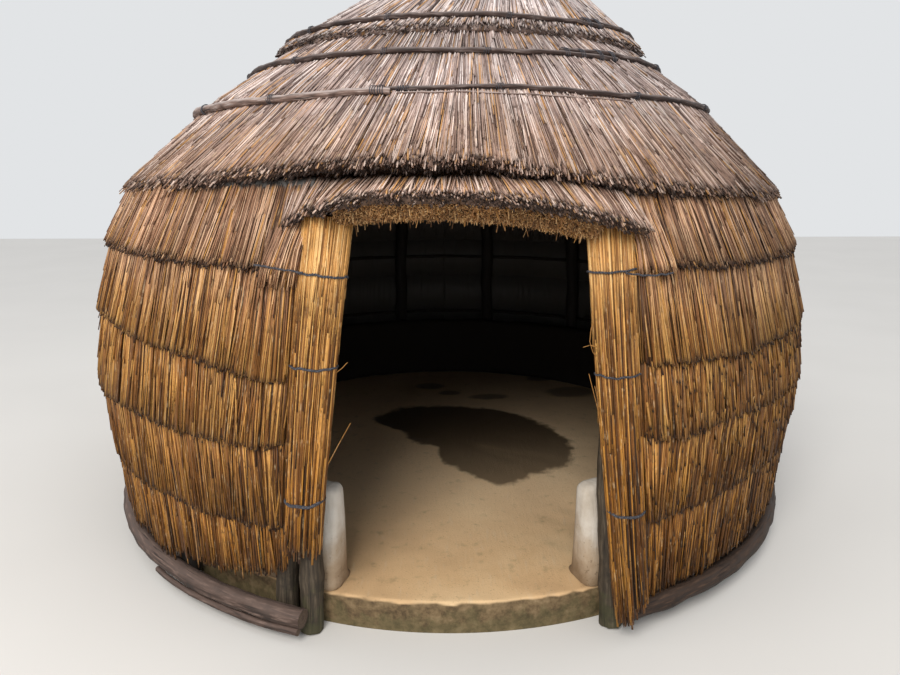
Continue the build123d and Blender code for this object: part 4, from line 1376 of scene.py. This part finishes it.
def tuft_cord():
    """Two turns of cord that climb round the tuft's waist."""
    shape = Shape()
    turn = np.linspace(0, 720, 220)
    along = 0.043 + 0.010 * turn / 720
    line = tuft_skin(turn, along, 0.0045)
    add_twist(shape, line, line - tuft_skin(turn, along, 0.0))
    shape.build("tuft_cord", tie_cord, "tie_cord", "tuft_tie", grain=True)


# Floor and low wall
def waves(x, y, pitch, rng, count=9):
    """Gentle unevenness: a sum of sines that run in different directions."""
    total = 0.0
    for _ in range(count):
        way, length = rng.uniform(0, 2 * np.pi), pitch * math.exp(rng.uniform(-0.7, 0.7))
        start = rng.uniform(0, 2 * np.pi)
        total = total + np.sin((x * math.cos(way) + y * math.sin(way)) * 2 * np.pi / length + start)
    return total / math.sqrt(count / 2)


# The floor's profile: radii on its top, heights down its side, and the worn rim's radius
TOP_RADII = (0.002, 0.2, 0.4, 0.6, 0.75, 0.9, 1.0, 1.1, 1.2, 1.28, 1.36, 1.42, 1.46, 1.49, 1.51)
SIDE_HEIGHTS = (0.088, 0.075, 0.062, 0.050, 0.038, 0.026, 0.014, 0.004, 0.0005)
WORN = 0.0205


def floor():
    """Trowelled clay disc: a profile from its middle over the worn rim and down the uneven
    side, turned about the axis, whose top and side sink by small waves."""
    rng = np.random.default_rng(101)
    shape = Shape()
    rim, side = FLOOR_HEIGHT - 0.0005, FLOOR_RADIUS - 0.001
    profile = [(radius, rim) for radius in TOP_RADII]
    profile += [(side - WORN + WORN * math.sin(a), rim - WORN * (1 - math.cos(a)))
                for a in np.linspace(0, np.pi / 2, 7)]
    profile += [(side, height) for height in SIDE_HEIGHTS] + [(1.2, 0.0005), (0.002, 0.0005)]
    radius, height = np.array(profile).T[..., None]
    turn = np.linspace(-180, 180, 301)[None, :-1]
    x, y, z = np.moveaxis(around(radius, turn, height), -1, 0)
    outer = np.clip((radius - 1.50) / 0.04, 0, 1) * (height > 0.001)
    metres = np.radians(turn) * 1.54
    rough = waves(metres, z * 2, 0.11, rng) + 0.6 * waves(metres, z * 2, 0.04, rng)
    points = around(np.maximum(radius - outer * (0.0028 + 0.0018 * rough), 0.001), turn, height)
    top = (height > 0.09) * np.clip(radius / 0.2, 0, 1)
    points[..., 2] -= top * (0.0022 + 0.0012 * waves(x, y, 0.5, rng) + 0.0007 * waves(x, y, 0.16, rng))
    points[..., 2] -= 0.0025 * outer * top * rough
    shape.add_tubes(points[None])
    shape.build("clay_floor_top", clay_floor, "clay_floor", "floor_slab", grain=True)


# Section of the low wall: up its inner face, round its top and down its outer face
WALL_MIDDLE = 1.47
INNER_FACE = ((1.372, 0.1175), (1.384, 0.124), (1.392, 0.136), (1.397, 0.16), (1.400, 0.25), (1.405, 0.35),
              (1.409, 0.44), (1.411, 0.475))
OUTER_FACE = ((1.5115, 0.455), (1.5185, 0.38), (1.5285, 0.30), (1.538, 0.20), (1.5425, 0.145),
              (1.536, 0.1215))


def low_wall():
    """Plastered clay kerb: a rounded section carried round the floor's edge, uneven by small
    waves, spread at its foot, and drawn in to a soft round end at each side of the doorway."""
    rng = np.random.default_rng(102)
    shape = Shape()
    bend = np.linspace(0, np.pi / 2, 6)
    section = [*INNER_FACE]
    section += [(1.412 + 0.032 * (1 - math.cos(a)), 0.481 + 0.032 * math.sin(a)) for a in bend]
    section += [(1.478 + 0.030 * math.sin(a), 0.483 + 0.030 * math.cos(a)) for a in bend]
    across, up = np.array([*section, *OUTER_FACE]).T
    start = LOW_WALL_END + 0.02
    turn = np.linspace(start, 360 - start, 240)
    metres = np.radians(turn - LOW_WALL_END) * WALL_MIDDLE
    fine = np.concatenate([np.linspace(0, 0.05, 9)[:-1], metres[metres > 0.05]])
    fine = np.concatenate([fine[fine < metres[-1] - 0.05], metres[-1] - np.linspace(0.05, 0, 9)])
    from_end = np.minimum(fine, fine[-1] - fine)
    draw = np.sqrt(np.clip(1 - (1 - np.clip(from_end / 0.042, 0, 1)) ** 2, 0, 1))[:, None]
    core = 1.462
    radius = core + (across - core) * (0.48 + 0.52 * draw)
    height = up - (1 - draw) * np.clip((up - 0.415) / 0.10, 0, 1) * 0.026
    place = fine[:, None]
    lump = waves(place, up * 1.4, 0.22, rng) + 0.5 * waves(place, up * 1.4, 0.07, rng)
    radius = radius + np.where(across < 1.45, 1.0, -1.0) * (0.0030 + 0.0022 * lump) * (up > 0.13)
    height = height - (0.003 + 0.0025 * lump) * (up > 0.455)
    points = around(radius, start + np.degrees(place / WALL_MIDDLE), height)
    shape.add_tubes(points[None])
    shape.build("low_wall_plaster", clay_plaster, "clay_plaster",
                "low_wall_left", "low_wall_right", "low_wall_back", grain=True)


frame_poles()
ground_poles()
hoops()
for side in SIDES:
    jamb_ties(side)
tuft_cord()
floor()
low_wall()


# Floor, light and camera
EYE_DISTANCE, EYE_TURN, EYE_HEIGHT = 3.65, -1.65, 1.6


def put(name, data, place, aim):
    """An object at a place that looks at a point."""
    made = bpy.data.objects.new(name, data)
    made.location = place
    made.rotation_mode = "QUATERNION"
    made.rotation_quaternion = (Vector(aim) - made.location).to_track_quat("-Z", "Y")
    bpy.context.scene.collection.objects.link(made)
    return made


def stage():
    """Pale floor, soft daylight from all round and a broad lamp from the upper left."""
    corners = [(-14.0, -14.0, 0), (14.0, -14.0, 0), (14.0, 14.0, 0), (-14.0, 14.0, 0)]
    mesh = bpy.data.meshes.new("stage_floor")
    mesh.from_pydata(corners, [], [(0, 1, 2, 3)])
    plain = Finish("stage_floor")
    tint = plain.mix(plain.noise(0.8, 2.0), rgb(214, 211, 206), rgb(222, 219, 214))
    mesh.materials.append(plain.shade(tint, 0.95, specular=0.1))
    ground = bpy.data.objects.new("stage_floor", mesh)
    bpy.context.scene.collection.objects.link(ground)
    world = bpy.data.worlds.new("daylight")
    bpy.context.scene.world = world
    world.use_nodes = True
    tree = world.node_tree
    tree.nodes.clear()
    path, mixer, sky, shown, output = (tree.nodes.new(f"ShaderNode{kind}") for kind in (
        "LightPath", "MixShader", "Background", "Background", "OutputWorld"))
    sky.inputs["Color"].default_value, sky.inputs["Strength"].default_value = (0.95, 0.97, 1.0, 1.0), 0.92
    shown.inputs["Color"].default_value, shown.inputs["Strength"].default_value = rgb(226, 228, 230), 1.0
    sources = (path.outputs["Is Camera Ray"], sky.outputs[0], shown.outputs[0], mixer.outputs[0])
    for source, target in zip(sources, (*mixer.inputs, output.inputs[0])):
        tree.links.new(source, target)
    lamp = bpy.data.lights.new("upper_left", "AREA")
    lamp.shape, lamp.size, lamp.energy = "DISK", 3.6, 430.0
    lamp.color = (1.0, 0.97, 0.93)
    put("upper_left", lamp, (-1.9, -6.6, 5.7), (0, 0, 1.2))


def camera():
    """Eye height, a little left of the doorway's middle, looking down at the hut's axis."""
    lens = bpy.data.cameras.new("view")
    lens.lens, lens.sensor_width = 27.04, 36.0
    lens.clip_start, lens.clip_end = 0.05, 60.0
    bpy.context.scene.camera = put("view", lens, around(EYE_DISTANCE, EYE_TURN, EYE_HEIGHT), (0, 0, 0.718))


stage()
camera()
bpy.context.scene.view_settings.view_transform = "Standard"
